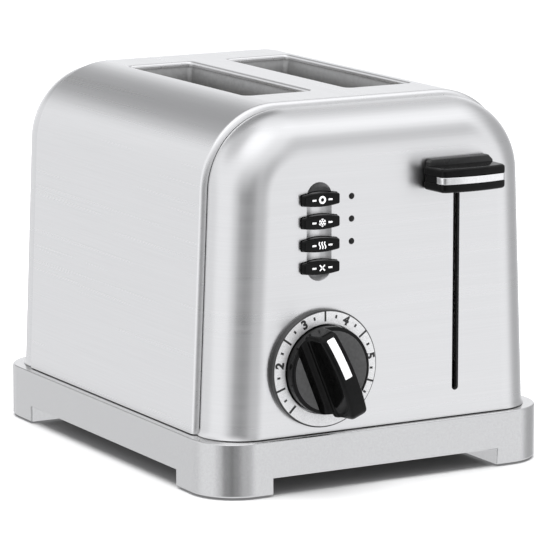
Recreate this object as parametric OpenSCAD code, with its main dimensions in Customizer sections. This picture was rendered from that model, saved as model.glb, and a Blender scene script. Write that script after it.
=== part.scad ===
// Two-slice pop-up toaster: wrapped steel body on a footed base, with its working insides.
// +X is to the right seen from the control panel, +Y runs to the back, +Z is up, z = 0 is the table.

/* [Body] */
// Overall height from the table to the top of the body
body_h = 190; // [185:1:232]
// Width of the body where it meets the base
body_w = 187; // [180:1:226]
// Depth of the body from the control panel to the rear panel
body_d = 237; // [230:1:288]
// Lean of the side walls, in degrees
side_draft = 2.4; // [1:0.1:3]
// Radius of the body's shoulders
shoulder_r = 42; // [36:1:46]
// Depth of each end panel, from its flat face to the seam
panel_depth = 26; // [24:0.5:30]
// Radius of the rolled edge round each end panel
panel_roll_r = 22; // [14:0.5:23]
// Sheet thickness of the body and the end panels
sheet_t = 1; // [0.8:0.1:1.5]
// How far the end of the wrap turns in at the seam
lip_drop = 2.5; // [1.5:0.1:3.5]
// Length over which the end of the wrap turns in
lip_len = 6; // [4:0.5:8]
// Open gap at the seam between the wrap and an end panel
seam_gap = 0.6; // [0.4:0.1:1]

/* [Bread slots] */
// Distance between the centres of the two slots
slot_pitch = 58.2; // [56:0.2:70]
// Width of a slot
slot_w = 37.3; // [31:0.1:38.5]
// Length of a slot
slot_l = 127.8; // [106:0.2:154]
// Corner radius of a slot
slot_corner_r = 3; // [2:0.5:5]
// Depth of the collar under each slot
chute_depth = 18; // [15:1:22]
// Sheet thickness of the collar and the chassis
chassis_t = 1; // [0.8:0.1:1.5]

/* [Base] */
// Ledge of the base outside the body at the sides
ledge_side = 4.3; // [3:0.1:6]
// Ledge of the base outside the body at the front and back
ledge_end = 3.4; // [2.5:0.1:6]
// Height of the base's top above the table
base_h = 28.2; // [27:0.1:34]
// Corner radius of the base in plan
base_corner_r = 24; // [20:1:30]
// Wall of the base
base_wall = 3; // [2.5:0.1:4]
// Thickness of the floor that closes the top of the base
floor_t = 3; // [2.5:0.1:4]
// Height of the feet under the base
foot_h = 9.3; // [7.5:0.1:12]
// Length of a foot along the front edge
foot_w = 33.1; // [26:0.1:40]
// Length of a foot along the side edge
foot_d = 40.2; // [30:0.1:48]
// Radius of a rubber foot pad
pad_r = 9; // [7:0.5:11]
// Height of the rubber below the foot
pad_out = 1.2; // [0.8:0.1:2]
// Depth of the pad's seat in the foot
pad_seat = 1.5; // [1:0.1:3]
// Thickness of the bottom plate
plate_t = 1.2; // [1:0.1:2]

/* [Push buttons] */
// Distance of the buttons' centre line to the left of the middle
button_x = 37.5; // [34:0.5:42]
// Drop from the top of the body to the first button
button_drop = 44.8; // [40:0.2:52]
// Spacing of the buttons
button_pitch = 11.2; // [10:0.1:12]
// Width of a button
button_w = 20.4; // [17:0.1:24]
// Height of a button at its middle
button_h = 7; // [6:0.1:8]
// Height of a button at its ends
button_end_h = 5; // [4:0.1:6]
// How far a button stands out of the panel
button_out = 3.2; // [2.5:0.1:4.5]
// Travel of a button
button_travel = 1.5; // [1:0.1:2]
// Gap round a button in its hole
button_clear = 0.3; // [0.3:0.05:0.5]
// Width of the trough behind the buttons
trough_w = 14; // [11:0.5:16]
// Depth of the trough
trough_depth = 2.2; // [1.5:0.1:2.8]
// Drop from the top of the body to the top of the trough
trough_drop = 36.4; // [32:0.2:40]
// Length of the trough
trough_l = 49; // [47:0.5:60]
// Distance of the indicators from the buttons' centre line
indicator_gap = 18.3; // [15:0.1:22]
// Radius of an indicator lens
indicator_r = 1.5; // [1.2:0.1:2]

/* [Browning control] */
// Distance of the dial's centre to the left of the middle
dial_x = 35.9; // [32:0.1:40]
// Height of the dial's centre above the table
dial_z = 61.2; // [58:0.1:64]
// Outer radius of the dial ring
dial_r = 29.4; // [24:0.1:31]
// Thickness of the dial ring
dial_t = 3.5; // [2.5:0.1:5]
// Radius of the knob's disc
knob_r = 21.9; // [18:0.1:23]
// Height of the knob's disc above the panel
knob_h = 9.4; // [8:0.1:12]
// Gap between the knob's disc and the dial ring, and behind the knob
knob_clear = 0.5; // [0.4:0.1:1]
// Width of the knob's grip bar
grip_w = 10; // [8:0.5:12]
// Height of the grip bar above the disc
grip_h = 16.5; // [12:0.5:20]
// Radius of the arch along the top of the grip bar
grip_arch_r = 60; // [50:1:90]
// Reach of the grip bar from the knob's centre
grip_reach = 23.4; // [19:0.1:25]
// Distance of the arch's top below the knob's centre
grip_peak = 4; // [0:0.5:6]
// Angle of the knob at rest, anticlockwise from upright
knob_angle = 22; // [0:1:45]
// Width of the pointer inlay
pointer_w = 4.4; // [3:0.1:5]
// Length of the pointer inlay
pointer_l = 21; // [15:0.5:22]
// Thickness of the pointer inlay
pointer_t = 1; // [0.6:0.1:1.5]
// Radius of the knob's shaft
shaft_r = 3; // [2.5:0.1:3.5]

/* [Lever and carriage] */
// Distance of the lever slot to the right of the middle
lever_x = 41.2; // [38:0.2:46]
// Drop from the top of the body to the middle of the lever at rest
lever_drop = 38.8; // [36:0.2:46]
// Travel of the carriage
carriage_travel = 98; // [80:1:98]
// Width of the lever handle
handle_w = 37; // [30:0.5:42]
// Height of the lever handle
handle_h = 12; // [10:0.2:14]
// How far the lever handle stands out of the panel
handle_out = 17.5; // [14:0.5:22]
// Gap between the lever handle and the panel
handle_gap = 1.6; // [1:0.1:3]
// Height of the ridge above the back of the handle
ridge_h = 3.2; // [2:0.1:4]
// Thickness of the ridge at the back of the handle
ridge_t = 4; // [3:0.1:6]
// Chamfer at the handle's front corners
handle_chamfer = 2; // [1:0.1:3]
// Height of the silver strip round the handle
trim_h = 3.4; // [2.5:0.1:5]
// Thickness of the silver strip
trim_t = 0.8; // [0.5:0.1:1.2]
// How far the silver strip reaches back round the handle's ends
trim_wrap = 5.7; // [4:0.1:8]
// Width of the lever slot in the panel
lever_slot_w = 3.2; // [2.6:0.1:3.8]
// Thickness of the lever arm
arm_t = 2; // [1.6:0.1:2.2]
// Height of the lever arm
arm_h = 8; // [6:0.2:9]
// Radius of the guide rod
rod_r = 3; // [2.5:0.1:4]
// Running clearance of the shaft, the rod and the hinge wires, all round
running_clear = 0.05; // [0.03:0.01:0.08]

/* [Heaters, guards and racks] */
// Distance of a heater board from the middle of its slot
heater_offset = 21.5; // [20.5:0.1:22.5]
// Thickness of a heater board
heater_t = 0.8; // [0.6:0.1:1]
// Height of a heater board's lower edge above the table
heater_low = 44; // [40:1:50]
// Number of heating ribbons on a board
ribbon_count = 11; // [8:1:14]
// Distance of a bread guard from the middle of its slot
guard_offset = 17.5; // [16.5:0.1:18]
// Height of a guard's hinge above the table
guard_hinge_z = 42; // [40:0.5:46]
// Radius of a guard's rails
guard_rail_r = 1.2; // [1:0.1:1.5]
// Radius of a guard's upright wires
guard_wire_r = 0.9; // [0.7:0.1:1]
// Number of upright wires in a guard
guard_wire_count = 9; // [7:1:11]
// Width of a bread rack's bar
rack_w = 14; // [11:0.5:16]
// Thickness of a bread rack's bar
rack_t = 1.2; // [1:0.1:1.5]
// Number of cross wires on a bread rack
rack_wire_count = 6; // [4:1:9]

/* [Crumb tray and inlet] */
// Width of the crumb tray
tray_w = 148; // [140:1:150]
// Height of the crumb tray's walls
tray_h = 9; // [7:0.5:10]
// Wall of the crumb tray
tray_t = 0.8; // [0.6:0.1:1.2]
// Gap round the crumb tray
tray_clear = 0.3; // [0.3:0.05:0.5]
// How far the tray's grip stands out of the base
grip_out = 3; // [2:0.2:5]
// Radius of the hole for the cord in the gland
cord_hole_r = 3.9; // [3.2:0.1:4.7]
// Distance of the gland to the right of the middle
gland_x = 58; // [50:1:62]
// Height of the gland's centre above the table
gland_z = 48; // [44:1:56]

/* [Hidden] */
$fn = 48;

over = 1;                    // overshoot of a cut past a face
button_count = 4;
base_w = body_w + 2 * ledge_side;
base_d = body_d + 2 * ledge_end;
front_y = -body_d / 2;       // outer face of the control panel
wrap_half = body_d / 2 - panel_depth;
roll_steps = 7;              // bands in an end panel's rolled edge
lip_steps = 3;               // bands in the wrap's turned-in end
shoulder_steps = 14;         // chords in a shoulder
shoulder_z = body_h - shoulder_r;
shoulder_x = body_w / 2 - shoulder_r * cos(side_draft)
    - (shoulder_z + shoulder_r * sin(side_draft) - base_h) * tan(side_draft);
lip_r = (lip_len * lip_len + lip_drop * lip_drop) / (2 * lip_drop);
lip_angle = asin(lip_len / lip_r);

chamber_half = slot_l / 2 + 3.6;              // inner face of a chassis end plate
end_plate_top = body_h - sheet_t - 4;
chute_z = body_h - sheet_t - chute_depth;     // lower rim of a slot's collar
chamber_top = chute_z - 4;                    // upper edge of the heaters and guards
plate_clear = 0.5;                            // gap between an end plate and the wrap
ribbon_h = 2;
ribbon_t = 0.3;
ribbon_margin = 9;                            // margin of a heater board round its ribbons
reflector_gap = 3;                            // gap between an outer heater and its reflector
reflector_t = 0.8;
guard_gap = 3;                                // gap from a guard's top rail to the end plates
guard_drop = 4;                               // drop from the heaters' top to a guard's top rail
guard_wire_inset = 2;
reflector_over = 6;                           // height of the reflectors above the heaters

trough_r = (trough_w * trough_w / 4 + trough_depth * trough_depth) / (2 * trough_depth);
trough_sphere_gap = sqrt(trough_r * trough_r - pow(trough_r - trough_depth, 2));
button_edge_r = (pow(button_w / 2, 2) + pow((button_h - button_end_h) / 2, 2))
    / (button_h - button_end_h);
flange_y = front_y + trough_depth + sheet_t + button_clear;   // front of a button's flange
flange_t = 1.5;
flange_lip = 1.2;
board_y = front_y + 16;      // front face of the control board
board_t = 1.6;
board_x = [-dial_x - 24, -dial_x + 28];
board_z = [36, body_h - trough_drop + 2];
switch_h = 6;                // height of a button switch off the board
switch_w = 6;
stem_r = 1.5;
post_r = 2.5;
post_inset = 5;
post_drop = 9;               // drop from the board's top to its upper posts

knob_back = front_y - knob_clear;
knob_face = front_y - knob_h;
grip_front = knob_face - grip_h;
pot_r = 8;
pot_t = 7;

lever_z = body_h - lever_drop;
handle_back = front_y - handle_gap;
handle_front = front_y - handle_out;
arm_reach = 10;              // length of the arm inside the handle
slot_over = 1.4;             // spare length of the lever slot past the arm, top and bottom
slot_tail = 6;               // how far the slot runs on below the lever's lowest place
liner_half = 6;              // half the width of the slot's liner
liner_t = 2;
liner_margin = 4;
liner_inset = 0.2;           // how far the liner stands into the slot
plate_drop = 12;             // drop from the lever's middle to the carriage plate's underside
carriage_t = 2;
carriage_z = lever_z - plate_drop;
carriage_y = -chamber_half - chassis_t - 15;  // centre line of the guide rod
carriage_depth = 16;
rack_top = carriage_z + carriage_t + 7;
rack_arm_t = 3;
rack_gap = 4;                // gap from a rack's bar to the end plates, and its reach past one
rack_rib = 1;                // depth of the rib under a rack's bar
rack_wire_r = 1;
rack_wire_half = 11;         // half the length of a cross wire
rack_wire_inset = 6;         // distance of the last cross wire from the bar's end
rod_x = 12;
spring_x = -8;
spring_r = 4;
spring_t = 0.8;
bush_wall = 3;
bush_low = 8;                // length of the bush below the carriage plate, and above it
bush_up = 8;
bush_lip = 1.5;
tab_z = body_h - 16;         // underside of the tab that holds the rod's top
keeper_x = -22;
keeper_t = 3;
keeper_w = 20;
magnet_gap = 0.4;            // gap left between the keeper and the core at the bottom
core_half = 6;               // half the depth of the magnet's core
core_yoke = 2;               // height of the yoke that joins its limbs
limb_half = 2.5;             // half the width of its middle limb
coil_wall = 4.5;             // wall of the coil at the front and back
coil_clear = 0.3;
coil_drop = 1;
magnet_top = carriage_z - keeper_t - carriage_travel - magnet_gap;

tray_z = foot_h + plate_t + tray_clear;
tray_front = -chamber_half - 20;
tray_inset = 1;              // how far the tray's walls stand in from its door
tray_drop = 2;
tray_grip_w = 44;
tray_grip_h = 4;
door_t = base_wall;
chamber_hole = [2 * (slot_pitch / 2 + slot_w / 2 + 14), 2 * chamber_half - 6];
pad_inset = [17.5, 21];      // distance of a foot pad's centre from the base's edges
vent_count = 3;              // vents in the bottom plate, each side of the middle one
vent_pitch = 16;
vent_w = 3;
vent_l = 60;
screw_r = 1.5;
screw_head_r = 3.2;
screw_head_t = 1.6;
screw_bite = 8;              // length of a base screw in its boss
boss_r = 4.5;
boss_at = [base_w / 2 - base_wall - 10.8, base_d / 2 - foot_d - 12];
foot_fold = 10;              // length and width of an end plate's folded foot
fold_w = 12;
flange_at = [56, chamber_half + chassis_t + foot_fold / 2];
rack_play = 3;               // play of a rack's arm in its slot, top and bottom
wire_notch = 8;              // half the width of the notch that the wires pass
gland_flange_t = 2.5;
gland_lip = 3;               // wall of the gland, and the reach of its flange past that
gland_body_r = cord_hole_r + gland_lip;
gland_depth = 12;
mains_x = [54, 74];          // the mains switch across the body
mains_y = [carriage_y - 10, carriage_y + 4];
mains_h = 14;
key_inset = 4;               // inset and height of the switch's key
key_h = 6;
wire_r = 1.3;
wire_gap = 2;                // half the distance between the two wires
wire_rear = 10;              // distance of the wires' bend from the gland
wire_lane_x = 70;            // where the wires run past the chamber
wire_lane_z = base_h + 6;

front_reach = -grip_front;
rear_reach = base_d / 2 + grip_out;
y_shift = (front_reach - rear_reach) / 2;     // puts the origin under the middle of the whole

// Outline of the body across its width, drawn in by inset at the sides and top.
function foot_x(inset, z) =
    body_w / 2 - inset / cos(side_draft) - (z - base_h) * tan(side_draft);
function shoulder_pts(inset) = [
    for (i = [0:shoulder_steps])
        let (t = side_draft + (90 - side_draft) * i / shoulder_steps)
            [shoulder_x + (shoulder_r - inset) * cos(t), shoulder_z + (shoulder_r - inset) * sin(t)]
];
function mirrored(pts) = [for (i = [len(pts) - 1:-1:0]) [-pts[i][0], pts[i][1]]];
function right_edge(inset, z) = concat([[foot_x(inset, z), z]], shoulder_pts(inset));
function body_outline(inset, z) =
    let (right = right_edge(inset, z)) concat(right, mirrored(right));

module placed() {
    translate([0, y_shift, 0]) children();
}

module rounded_rect(w, d, r) {
    square([w - 2 * r, d], center = true);
    square([w, d - 2 * r], center = true);
    for (sx = [-1, 1], sy = [-1, 1])
        translate([sx * (w / 2 - r), sy * (d / 2 - r)]) circle(r);
}

module base_outline(inset) {
    rounded_rect(base_w - 2 * inset, base_d - 2 * inset, base_corner_r - inset);
}

// A slab between y0 and y1 with the body's outline.
module body_slab(y0, y1, inset, z) {
    translate([0, y1, 0]) rotate([90, 0, 0]) linear_extrude(y1 - y0)
        polygon(body_outline(inset, z));
}

// The body's outline as a closed ring of points in the plane y.
function ring(y, inset, z) = [for (p = body_outline(inset, z)) [p[0], y, p[1]]];

// A solid skinned over rings of equal length, given from front to back.
module loft(rings) {
    n = len(rings[0]);
    last = (len(rings) - 1) * n;
    polyhedron(
        points = [for (r = rings, p = r) p],
        faces = concat(
            [[for (i = [n - 1:-1:0]) i]],
            [for (k = [0:len(rings) - 2], i = [0:n - 1], half = [0, 1])
                let (a = k * n + i, b = k * n + (i + 1) % n)
                    half == 0 ? [a, b, b + n] : [a, b + n, a + n]],
            [[for (i = [0:n - 1]) last + i]]),
        convexity = 4);
}

// The wrap as a solid, drawn in by inset; extra runs its ends on past the seams.
module wrap_solid(inset, z, extra) {
    lip = [for (i = [0:lip_steps])
        let (t = lip_angle * i / lip_steps)
            [wrap_half - lip_len + lip_r * sin(t), inset + lip_r * (1 - cos(t))]];
    ends = extra > 0 ? concat(lip, [[wrap_half + extra, inset + lip_drop]]) : lip;
    m = len(ends) - 1;
    loft(concat(
        [for (i = [m:-1:0]) ring(-ends[i][0], ends[i][1], z)],
        [for (i = [0:m]) ring(ends[i][0], ends[i][1], z)]));
}

// A front end panel as a solid, drawn in by inset, from its face back to y1.
module panel_solid(inset, y1, z) {
    r = panel_roll_r - inset;
    loft(concat(
        [for (i = [roll_steps:-1:0])
            let (t = 90 * i / roll_steps)
                ring(front_y + inset + r * (1 - sin(t)), lip_drop + inset + r * (1 - cos(t)), z)],
        [ring(y1, lip_drop + inset, z)]));
}

module panel_shell() {
    difference() {
        panel_solid(0, -wrap_half - seam_gap, base_h);
        panel_solid(sheet_t, -wrap_half - seam_gap + over, base_h - over);
    }
}

// A cylinder along +Y from y0 to y1.
module rod_y(x, z, r, y0, y1) {
    translate([x, y0, z]) rotate([-90, 0, 0]) cylinder(r = r, h = y1 - y0);
}

module block(x, y, z) {
    translate([x[0], y[0], z[0]]) cube([x[1] - x[0], y[1] - y[0], z[1] - z[0]]);
}

module base_frame() {
    placed() color("lightgray") difference() {
        union() {
            difference() {
                union() {
                    translate([0, 0, foot_h]) linear_extrude(base_h - foot_h) base_outline(0);
                    intersection() {
                        translate([0, 0, pad_out]) linear_extrude(foot_h) base_outline(0);
                        for (sx = [-1, 1], sy = [-1, 1])
                            translate([sx * (base_w - foot_w) / 2, sy * (base_d - foot_d) / 2,
                                (pad_out + foot_h) / 2])
                                cube([foot_w, foot_d, foot_h - pad_out], center = true);
                    }
                }
                translate([0, 0, foot_h])
                    linear_extrude(base_h - floor_t - foot_h) base_outline(base_wall);
                translate([0, 0, base_h - floor_t / 2])
                    cube([chamber_hole[0], chamber_hole[1], floor_t + 2 * over], center = true);
                block([-tray_w / 2 - tray_clear, tray_w / 2 + tray_clear],
                    [base_d / 2 - base_wall - over, base_d / 2 + over],
                    [foot_h + plate_t, tray_z + tray_h + tray_clear]);
                foot_pads_at(pad_out + pad_seat);
            }
            for (sx = [-1, 1], sy = [-1, 1])
                translate([sx * boss_at[0], sy * boss_at[1], foot_h + plate_t])
                    cylinder(r = boss_r, h = base_h - floor_t - foot_h - plate_t);
        }
        for (sx = [-1, 1], sy = [-1, 1]) {
            translate([sx * boss_at[0], sy * boss_at[1], foot_h])
                cylinder(r = screw_r, h = base_h - floor_t - foot_h);
            translate([sx * flange_at[0], sy * flange_at[1], base_h - floor_t - over])
                cylinder(r = screw_r, h = floor_t + 2 * over);
        }
    }
}

module bottom_plate() {
    placed() color("dimgray") difference() {
        translate([0, 0, foot_h]) linear_extrude(plate_t) base_outline(base_wall + tray_clear);
        for (sx = [-1, 1], sy = [-1, 1])
            translate([sx * boss_at[0], sy * boss_at[1], foot_h - over])
                cylinder(r = screw_r, h = plate_t + 2 * over);
        for (i = [-vent_count:vent_count])
            translate([i * vent_pitch, 0, foot_h + plate_t / 2])
                cube([vent_w, vent_l, 2 * plate_t], center = true);
    }
}

module foot_pads_at(h) {
    for (sx = [-1, 1], sy = [-1, 1])
        translate([sx * (base_w / 2 - pad_inset[0]), sy * (base_d / 2 - pad_inset[1]), 0])
            cylinder(r = pad_r, h = h);
}

module foot_pads() {
    placed() color("black") foot_pads_at(pad_out + pad_seat);
}

module body_wrap() {
    placed() color("silver") difference() {
        wrap_solid(0, base_h, 0);
        wrap_solid(sheet_t, base_h - over, over);
        for (s = [-1, 1])
            translate([s * slot_pitch / 2, 0, body_h - 4 * sheet_t])
                linear_extrude(6 * sheet_t) rounded_rect(slot_w, slot_l, slot_corner_r);
    }
}

module slot_chute(s) {
    translate([s * slot_pitch / 2, 0, chute_z]) difference() {
        linear_extrude(chute_depth)
            rounded_rect(slot_w + 2 * chassis_t, slot_l + 2 * chassis_t, slot_corner_r + chassis_t);
        translate([0, 0, -over]) linear_extrude(chute_depth + 2 * over)
            rounded_rect(slot_w, slot_l, slot_corner_r);
    }
}

module left_slot_chute() {
    placed() color("gray") intersection() {
        slot_chute(-1);
        wrap_solid(sheet_t, base_h - over, over);
    }
}

module right_slot_chute() {
    placed() color("gray") intersection() {
        slot_chute(1);
        wrap_solid(sheet_t, base_h - over, over);
    }
}

// Outline of a push button: two crowned long edges cut off square at the ends.
module button_outline(clear) {
    intersection() {
        translate([0, button_h / 2 - button_edge_r])
            circle(button_edge_r + clear, $fn = 128);
        translate([0, button_edge_r - button_h / 2])
            circle(button_edge_r + clear, $fn = 128);
        square([button_w + 2 * clear, button_h + 2 * clear], center = true);
    }
}

function button_z(i) = body_h - button_drop - i * button_pitch;

module button_prism(i, clear, y0, y1) {
    translate([-button_x, y1, button_z(i)]) rotate([90, 0, 0]) linear_extrude(y1 - y0)
        button_outline(clear);
}

module trough(r) {
    top = body_h - trough_drop - trough_sphere_gap;
    bottom = body_h - trough_drop - trough_l + trough_sphere_gap;
    translate([-button_x, front_y - trough_r + trough_depth, 0]) {
        translate([0, 0, bottom]) cylinder(r = r, h = top - bottom);
        translate([0, 0, top]) sphere(r);
        translate([0, 0, bottom]) sphere(r);
    }
}

module lever_slot(w, extra, y0, y1) {
    low = lever_z - arm_h / 2 - carriage_travel - slot_over - slot_tail - extra;
    high = lever_z + arm_h / 2 + slot_over + extra;
    block([lever_x - w / 2, lever_x + w / 2], [y0, y1], [low + w / 2, high]);
    rod_y(lever_x, low + w / 2, w / 2, y0, y1);
}

module front_panel() {
    placed() color("silver") difference() {
        union() {
            panel_shell();
            intersection() {
                trough(trough_r + sheet_t);
                block([-body_w / 2, body_w / 2], [front_y + sheet_t / 2, 0], [base_h, body_h]);
            }
        }
        trough(trough_r);
        for (i = [0:button_count - 1])
            button_prism(i, button_clear, front_y - over, flange_y);
        for (i = [0:button_count - 2])
            rod_y(-button_x + indicator_gap, button_z(i), indicator_r + button_clear / 2,
                front_y - over, front_y + 3 * sheet_t);
        rod_y(-dial_x, dial_z, shaft_r + knob_clear, front_y - over, front_y + 3 * sheet_t);
        lever_slot(lever_slot_w, 0, front_y - over, front_y + 3 * sheet_t);
    }
}

module rear_panel() {
    placed() color("silver") difference() {
        mirror([0, 1, 0]) panel_shell();
        rod_y(gland_x, gland_z, gland_body_r, -front_y - 3 * sheet_t, -front_y + over);
    }
}

// A push button with its flange behind the panel and the stem that works its switch.
module push_button(i) {
    button_prism(i, 0, front_y - button_out, flange_y + flange_t);
    button_prism_flange(i);
    rod_y(-button_x, button_z(i), stem_r, flange_y + flange_t, board_y - switch_h + 0.5);
}

module button_prism_flange(i) {
    block([-button_x - button_w / 2 - flange_lip, -button_x + button_w / 2 + flange_lip],
        [flange_y, flange_y + flange_t],
        [button_z(i) - button_h / 2 - flange_lip, button_z(i) + button_h / 2 + flange_lip]);
}

module bagel_button() {
    placed() color("black") push_button(0);
}

module defrost_button() {
    placed() color("black") push_button(1);
}

module reheat_button() {
    placed() color("black") push_button(2);
}

module cancel_button() {
    placed() color("black") push_button(3);
}

module indicator_lenses() {
    placed() color("darkslategray")
        for (i = [0:button_count - 2])
            rod_y(-button_x + indicator_gap, button_z(i), indicator_r, front_y - 0.4, board_y);
}

module dial_ring() {
    placed() color("gainsboro") difference() {
        rod_y(-dial_x, dial_z, dial_r, front_y - dial_t, front_y);
        rod_y(-dial_x, dial_z, knob_r + knob_clear, front_y - dial_t - over, front_y + over);
    }
}

// Moves what is drawn about the Y axis onto the knob, turned to its rest angle.
module on_knob() {
    translate([-dial_x, 0, dial_z]) rotate([0, -knob_angle, 0]) children();
}

module grip_arch(r) {
    rotate([0, 90, 0])
        translate([grip_peak, grip_front + grip_arch_r, -dial_r])
            cylinder(r = r, h = 2 * dial_r, $fn = 128);
}

module grip_solid() {
    intersection() {
        block([-grip_w / 2, grip_w / 2], [grip_front, knob_face + over],
            [-grip_reach, grip_reach]);
        rod_y(0, 0, grip_reach, grip_front - over, knob_face + 2 * over);
        grip_arch(grip_arch_r);
    }
}

module pointer_solid() {
    intersection() {
        difference() {
            grip_arch(grip_arch_r);
            grip_arch(grip_arch_r - pointer_t);
        }
        block([-pointer_w / 2, pointer_w / 2], [grip_front - over, knob_face], [0, pointer_l]);
    }
}

module browning_knob() {
    placed() color("black") difference() {
        on_knob() difference() {
            union() {
                rod_y(0, 0, knob_r, knob_face, knob_back);
                grip_solid();
            }
            pointer_solid();
        }
        rod_y(-dial_x, dial_z, shaft_r, knob_face - 6, knob_back + over);
    }
}

module knob_pointer() {
    placed() color("white") on_knob() pointer_solid();
}

module knob_shaft() {
    placed() color("silver")
        rod_y(-dial_x, dial_z, shaft_r, knob_face - 6, board_y - 2);
}

module browning_pot() {
    placed() color("steelblue") difference() {
        rod_y(-dial_x, dial_z, pot_r, board_y - pot_t, board_y);
        rod_y(-dial_x, dial_z, shaft_r + running_clear, board_y - pot_t - over, board_y - 1.5);
    }
}

// Plan of the lever handle, with its front corners cut off; inset draws it in.
module handle_plan(inset) {
    half = handle_w / 2 - inset;
    c = handle_chamfer;
    front = handle_front + inset;
    polygon([
        [-half, handle_back], [-half, front + c], [-half + c, front],
        [half - c, front], [half, front + c], [half, handle_back]
    ]);
}

module trim_solid() {
    translate([lever_x, 0, lever_z - trim_h / 2]) linear_extrude(trim_h) difference() {
        handle_plan(0);
        handle_plan(trim_t);
        translate([-handle_w, handle_front + trim_wrap]) square([2 * handle_w, handle_out]);
    }
}

module lever_handle() {
    placed() color("black") difference() {
        union() {
            translate([lever_x, 0, lever_z - handle_h / 2]) linear_extrude(handle_h)
                handle_plan(0);
            block([lever_x - handle_w / 2, lever_x + handle_w / 2],
                [handle_back - ridge_t, handle_back],
                [lever_z, lever_z + handle_h / 2 + ridge_h]);
        }
        trim_solid();
        lever_arm();
    }
}

module lever_trim() {
    placed() color("silver") trim_solid();
}

module lever_arm() {
    block([lever_x - arm_t / 2, lever_x + arm_t / 2],
        [handle_back - arm_reach, carriage_y],
        [lever_z - arm_h / 2, lever_z + arm_h / 2]);
}

module lever_slot_liner() {
    y0 = front_y + sheet_t;
    low = lever_z - arm_h / 2 - carriage_travel - slot_over - slot_tail;
    high = lever_z + arm_h / 2 + slot_over;
    placed() color("black") difference() {
        block([lever_x - liner_half, lever_x + liner_half], [y0, y0 + liner_t],
            [low - liner_margin, high + liner_margin]);
        lever_slot(lever_slot_w - 2 * liner_inset, -liner_inset, y0 - over, y0 + liner_t + over);
    }
}

module carriage_bracket() {
    placed() color("silver") difference() {
        union() {
            block([-slot_pitch / 2 - rack_arm_t, lever_x + arm_t / 2],
                [carriage_y - carriage_depth / 2, carriage_y + carriage_depth / 2],
                [carriage_z, carriage_z + carriage_t]);
            block([lever_x - arm_t / 2, lever_x + arm_t / 2],
                [carriage_y - carriage_depth / 2, carriage_y + carriage_depth / 2],
                [carriage_z, lever_z + arm_h / 2]);
            lever_arm();
        }
        translate([rod_x, carriage_y, carriage_z - over])
            cylinder(r = rod_r + bush_wall, h = carriage_t + 2 * over);
    }
}

module carriage_bush() {
    placed() color("ivory") translate([rod_x, carriage_y, carriage_z]) difference() {
        union() {
            translate([0, 0, -bush_low])
                cylinder(r = rod_r + bush_wall, h = bush_low + carriage_t + bush_up);
            translate([0, 0, carriage_t]) cylinder(r = rod_r + bush_wall + bush_lip, h = bush_lip);
        }
        translate([0, 0, -bush_low - over])
            cylinder(r = rod_r + running_clear, h = bush_low + carriage_t + bush_up + 2 * over);
    }
}

module keeper_plate() {
    placed() color("slategray")
        block([keeper_x - keeper_w / 2, keeper_x + keeper_w / 2],
            [carriage_y - core_half - 1, carriage_y + core_half + 1],
            [carriage_z - keeper_t, carriage_z]);
}

module guide_rod() {
    placed() color("silver") translate([rod_x, carriage_y, base_h])
        cylinder(r = rod_r, h = tab_z + chassis_t + 2 - base_h);
}

module return_spring() {
    low = carriage_z + carriage_t;
    placed() color("silver") translate([spring_x, carriage_y, low]) difference() {
        cylinder(r = spring_r, h = tab_z - low);
        translate([0, 0, -over]) cylinder(r = spring_r - spring_t, h = tab_z - low + 2 * over);
    }
}

// A bread rack: a flat bar with cross wires, and a fin at each end that runs in a chassis slot.
module bread_rack(s) {
    bar_half = chamber_half - rack_gap;
    pitch = 2 * (bar_half - rack_wire_inset) / (rack_wire_count - 1);
    translate([s * slot_pitch / 2, 0, 0]) {
        difference() {
            union() {
                block([-rack_w / 2, rack_w / 2], [-bar_half, bar_half],
                    [rack_top - rack_t, rack_top]);
                block([-rack_arm_t / 2, rack_arm_t / 2],
                    [carriage_y, chamber_half + chassis_t + rack_gap],
                    [carriage_z + carriage_t, rack_top - rack_t / 2]);
            }
            block([-rack_arm_t, rack_arm_t], [-bar_half + rack_gap, bar_half - rack_gap],
                [carriage_z, rack_top - rack_t - rack_rib]);
        }
        for (i = [0:rack_wire_count - 1])
            translate([-rack_wire_half, -bar_half + rack_wire_inset + i * pitch,
                rack_top + rack_wire_r / 2])
                rotate([0, 90, 0]) cylinder(r = rack_wire_r, h = 2 * rack_wire_half);
    }
}

module left_bread_rack() {
    placed() color("silver") bread_rack(-1);
}

module right_bread_rack() {
    placed() color("silver") bread_rack(1);
}

function guard_places() = [
    -slot_pitch / 2 - guard_offset, -slot_pitch / 2 + guard_offset,
    slot_pitch / 2 - guard_offset, slot_pitch / 2 + guard_offset
];

// An end plate of the chassis in the plane y0 to y0 + chassis_t.
module end_plate(y0) {
    difference() {
        intersection() {
            body_slab(y0, y0 + chassis_t, sheet_t + plate_clear, base_h);
            block([-body_w, body_w], [y0 - over, y0 + chassis_t + over], [base_h, end_plate_top]);
        }
        for (s = [-1, 1]) {
            block([s * slot_pitch / 2 - rack_arm_t / 2 - 1, s * slot_pitch / 2 + rack_arm_t / 2 + 1],
                [y0 - over, y0 + chassis_t + over],
                [carriage_z + carriage_t - carriage_travel - rack_play, rack_top + rack_play]);
            block([s * wire_lane_x - wire_notch, s * wire_lane_x + wire_notch],
                [y0 - over, y0 + chassis_t + over], [base_h - over, wire_lane_z + wire_notch]);
        }
        for (x = guard_places())
            rod_y(x, guard_hinge_z, guard_rail_r + running_clear,
                y0 - over, y0 + chassis_t + over);
    }
}

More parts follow.
